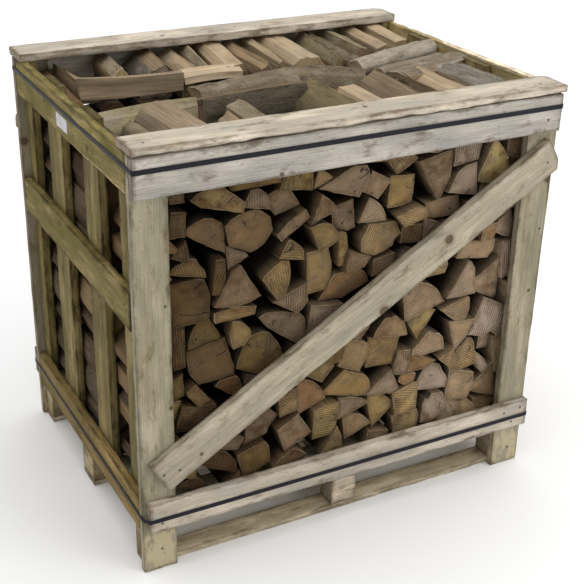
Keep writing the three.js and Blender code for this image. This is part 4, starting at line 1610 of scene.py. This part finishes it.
TOP_LOGS_BACK = [
    (95, 400, 0, (0.95, 0.9, 0.3), 0.0, 0.4,
     [(-529, 1000, 0), (-484, 1000, 0), (-482, 1040, 0), (-500, 1064, 0), (-529, 1058, 0)]),
    (236, 400, 0, (0.55, 1.35, 0.3), 0.0, 0.4,
     [(-478, 1000, 0), (-376, 1000, 0), (-374, 1026, 0), (-420, 1046, 0), (-470, 1078, 0)]),
    (236, 400, 0, (0.8, 1.4, 0.3), 0.4, 1.0,
     [(-368, 1000, 0), (-306, 1000, 0), (-304, 1052, 1), (-330, 1086, 1), (-364, 1066, 0)]),
    (212, 400, 0, (0.0, 1.0, 0.3), 0.0, 0.0,
     [(-302, 1000, 0), (-208, 1000, 0), (-204, 1050, 0), (-222, 1096, 0), (-262, 1080, 1), (-300, 1044, 1)]),
    (178, 400, 0, (0.6, 1.6, 0.3), 0.1, 0.9,
     [(-196, 1000, 0), (-142, 1000, 0), (-140, 1058, 0), (-154, 1094, 0), (-190, 1060, 0)]),
    (186, 400, 10, (0.7, 1.5, 0.3), 0.2, 1.0,
     [(-134, 1000, 0), (-102, 1000, 0), (-100, 1064, 0), (-118, 1092, 1), (-132, 1064, 0)]),
    (165, 400, 12, (0.6, 1.6, 0.3), 0.1, 0.4,
     [(-92, 1000, 0), (0, 1000, 0), (2, 1052, 0), (-20, 1084, 0), (-62, 1092, 0), (-90, 1066, 0)]),
    (128, 400, 0, (0.35, 1.3, 0.4), 0.5, 1.0,
     [(8, 1000, 0), (50, 1000, 0), (52, 1062, 1), (38, 1096, 0), (14, 1074, 0)]),
    (150, 400, 8, (0.6, 1.5, 0.3), 0.0, 0.4,
     [(60, 1000, 0), (106, 1000, 0), (110, 1046, 0), (94, 1090, 0), (74, 1078, 0)]),
    (140, 400, 12, (0.55, 1.7, 0.3), 0.0, 0.4,
     [(116, 1000, 0), (222, 1000, 0), (226, 1052, 0), (204, 1084, 0), (150, 1092, 0), (120, 1064, 0)]),
    (125, 400, 0, (0.8, 1.4, 0.3), 0.6, 1.0,
     [(232, 1000, 0), (262, 1000, 0), (268, 1060, 1), (256, 1095, 1), (236, 1058, 0)]),
    (100, 400, 0, (0.45, 1.4, 0.3), 0.2, 0.9,
     [(272, 1000, 0), (314, 1000, 0), (318, 1044, 0), (300, 1092, 1), (280, 1064, 1)]),
    (165, 400, 6, (0.3, 1.2, 0.3), 0.3, 0.9,
     [(324, 1000, 0), (382, 1000, 0), (388, 1052, 1), (370, 1086, 1), (342, 1092, 1), (326, 1052, 0)]),
    (176, 400, 8, (0.55, 1.6, 0.3), 0.1, 1.0,
     [(396, 1000, 0), (452, 1000, 0), (456, 1060, 0), (436, 1092, 0), (406, 1076, 0)]),
    (186, 400, 8, (0.6, 1.7, 0.3), 0.0, 0.4,
     [(462, 1000, 0), (529, 1000, 0), (529, 1078, 0), (518, 1094, 0), (474, 1086, 0)]),
]


TOP_LOW, TOP_GAP = 0.985, 0.0014
# Painted shade: the sides of the top logs are darkened from this depth below the top.
SHADE_BELOW_TOP = 0.016              # the wood darkens from this far below the top


def lay_top(name, rows, chance, shade_by):
    """Builds the top logs of one row as one piece; their far ends may rise, but none passes the top."""
    outlines = [[(x / 1000, z / 1000, bark) for x, z, bark in row[6]] for row in rows]
    outlines = keep_apart(outlines, TOP_GAP, (-HALF_STACK, TOP_LOW), (HALF_STACK, TOP_HIGH))
    faces = 0
    heap = Heap()
    for outline, row in zip(outlines, rows):
        near, far, lift = (millimetres / 1000 for millimetres in row[:3])
        (hue, lightness, luck), moss, bark_kind = row[3:6]
        outline = trimmed(outline, (0, 1), TOP_HIGH - lift)
        centre = np.mean([corner[:2] for corner in outline], axis=0)
        heart = centre + [chance.uniform(-0.05, 0.05), -chance.uniform(0.03, 0.09)]
        along = Vector((chance.normal(0, 0.012), far - near, lift)).normalized()
        up = Vector((1, 0, 0)).cross(along).normalized()
        side = np.cross(along, up)
        start = np.array([centre[0], near, centre[1]]) - side * centre[0] - np.array(up) * centre[1]
        faces += split_log(heap, outline, heart, start, along, up, far - near, chance,
                           tint=(hue, lightness * shade_by, luck), step=0.0060, rings=30, rough=0.0034,
                           taper=0.06, bow=0.0015, tilt=0.09, bark_rough=0.0034, moss=moss,
                           crest=TOP_HIGH - SHADE_BELOW_TOP, bark_kind=bark_kind)
    piece = heap.build(f"{name}_top_logs", LOG_FINISHES, smooth_angle=42)
    settle(piece, "log_wood", f"logs_{name}_row")
    return faces


chance = np.random.default_rng(SEED_TOP)
count = lay_top("front", TOP_LOGS_FRONT, chance, shade_by=0.92)
count += lay_top("back", TOP_LOGS_BACK, chance, shade_by=0.80)
print("top logs of the outer rows:", len(TOP_LOGS_FRONT) + len(TOP_LOGS_BACK), "logs,", count, "faces")

# %% Loose logs across the middle, in millimetres
# node, slot, kind, width and height, which way the bark faces,
# then the middle, length, yaw and pitch, (hue, lightness, luck), moss and bark kind
LOOSE_LOGS = [
    ("log_squared", "log_wood", "block", (52, 64), 180,
     (-343, 172, 1063), 272, (-11, 0.5), (0.05, 1.2, 0.2), 0.0, 0.4),
    ("log_mossy_bark", "log_bark", "half", (116, 76), 90,
     (-365, -6, 1030), 300, (2, 1), (0.6, 1.25, 0.2), 0.7, 1.0),
    ("log_grey_bark", "log_bark", "slab", (46, 84), 8,
     (-105, -70, 1048), 298, (3, 1), (0.05, 0.50, 0.2), 0.0, 0.0),
    ("log_brown_bark", "log_bark", "half", (88, 70), 60,
     (-86, 22, 1058), 300, (9, 1), (0.15, 0.95, 0.2), 0.05, 0.5),
    ("log_short", "log_bark", "half", (72, 66), 80,
     (150, 30, 1060), 216, (-24, 0), (0.35, 1.1, 0.3), 0.1, 0.5),
    ("branch_pale", "log_bark", "round", (64, 60), 0,
     (395, 72, 1076), 300, (14, 2), (0.5, 1.55, 0.3), 0.0, 1.0),
    ("branch_gnarled", "log_bark", "round", (50, 46), 0,
     (408, 12, 1062), 240, (14, 0), (0.3, 1.3, 0.3), 0.15, 0.5),
    ("plank_split", "log_wood", "slab", (86, 26), 90,
     (425, -60, 1083), 262, (16, 2), (0.35, 1.1, 0.3), 0.0, 0.5),
]


def loose_log(row, chance):
    node, slot, kind, (width, height), turn, middle, length, (yaw, pitch), tint, moss, bark_kind = row
    outline, heart = fitted_outline(kind, (0, 0), width / 1000, height / 1000, turn, chance)
    yaw, pitch = math.radians(yaw), math.radians(pitch)
    along = np.array([math.cos(yaw) * math.cos(pitch), math.sin(yaw) * math.cos(pitch), math.sin(pitch)])
    up = np.cross(np.cross(along, [0, 0, 1]), along)
    up /= np.linalg.norm(up)
    start = np.array(middle) / 1000 - along * length / 2000
    heap = Heap()
    faces = split_log(heap, outline, heart, start, along, up, length / 1000, chance, tint=tint, step=0.005,
                      rings=40, rough=0.0032, taper=0.08, bow=0.002, bark_rough=0.0040, moss=moss,
                      stack_shade=0.0, bark_kind=bark_kind)
    piece = heap.build("loose_" + node, LOG_FINISHES, smooth_angle=42)
    settle(piece, slot, node)
    return faces


chance = np.random.default_rng(SEED_LOOSE)
count = sum(loose_log(row, chance) for row in LOOSE_LOGS)
print("loose logs:", len(LOOSE_LOGS), "logs,", count, "faces")

# %% A thin slab between them
# It lies on the back row, along the crate, between the squared log and the brown one.
SLAB_CORNERS = [(-0.034, -0.012, 0), (0.034, -0.016, 0), (0.030, 0.004, 0), (-0.006, 0.016, 0),
                (-0.032, 0.008, 0)]
SLAB_START = np.array([-0.200, 0.172, 1.068])
SLAB_HEART = np.array([0.0, -0.08])
SLAB_LENGTH = 0.165
heap = Heap()
chance = np.random.default_rng(SEED_SLAB)
count = split_log(heap, SLAB_CORNERS, SLAB_HEART, SLAB_START, (1, 0, 0), (0, 0, 1), SLAB_LENGTH, chance,
                  tint=(0.55, 1.7, 0.3), step=0.004, rings=26, rough=0.0034, bow=0.004, stack_shade=0.0)
piece = heap.build("slab_between", LOG_FINISHES, smooth_angle=42)
settle(piece, "log_wood", "logs_back_row")
print("slab:", count, "faces")
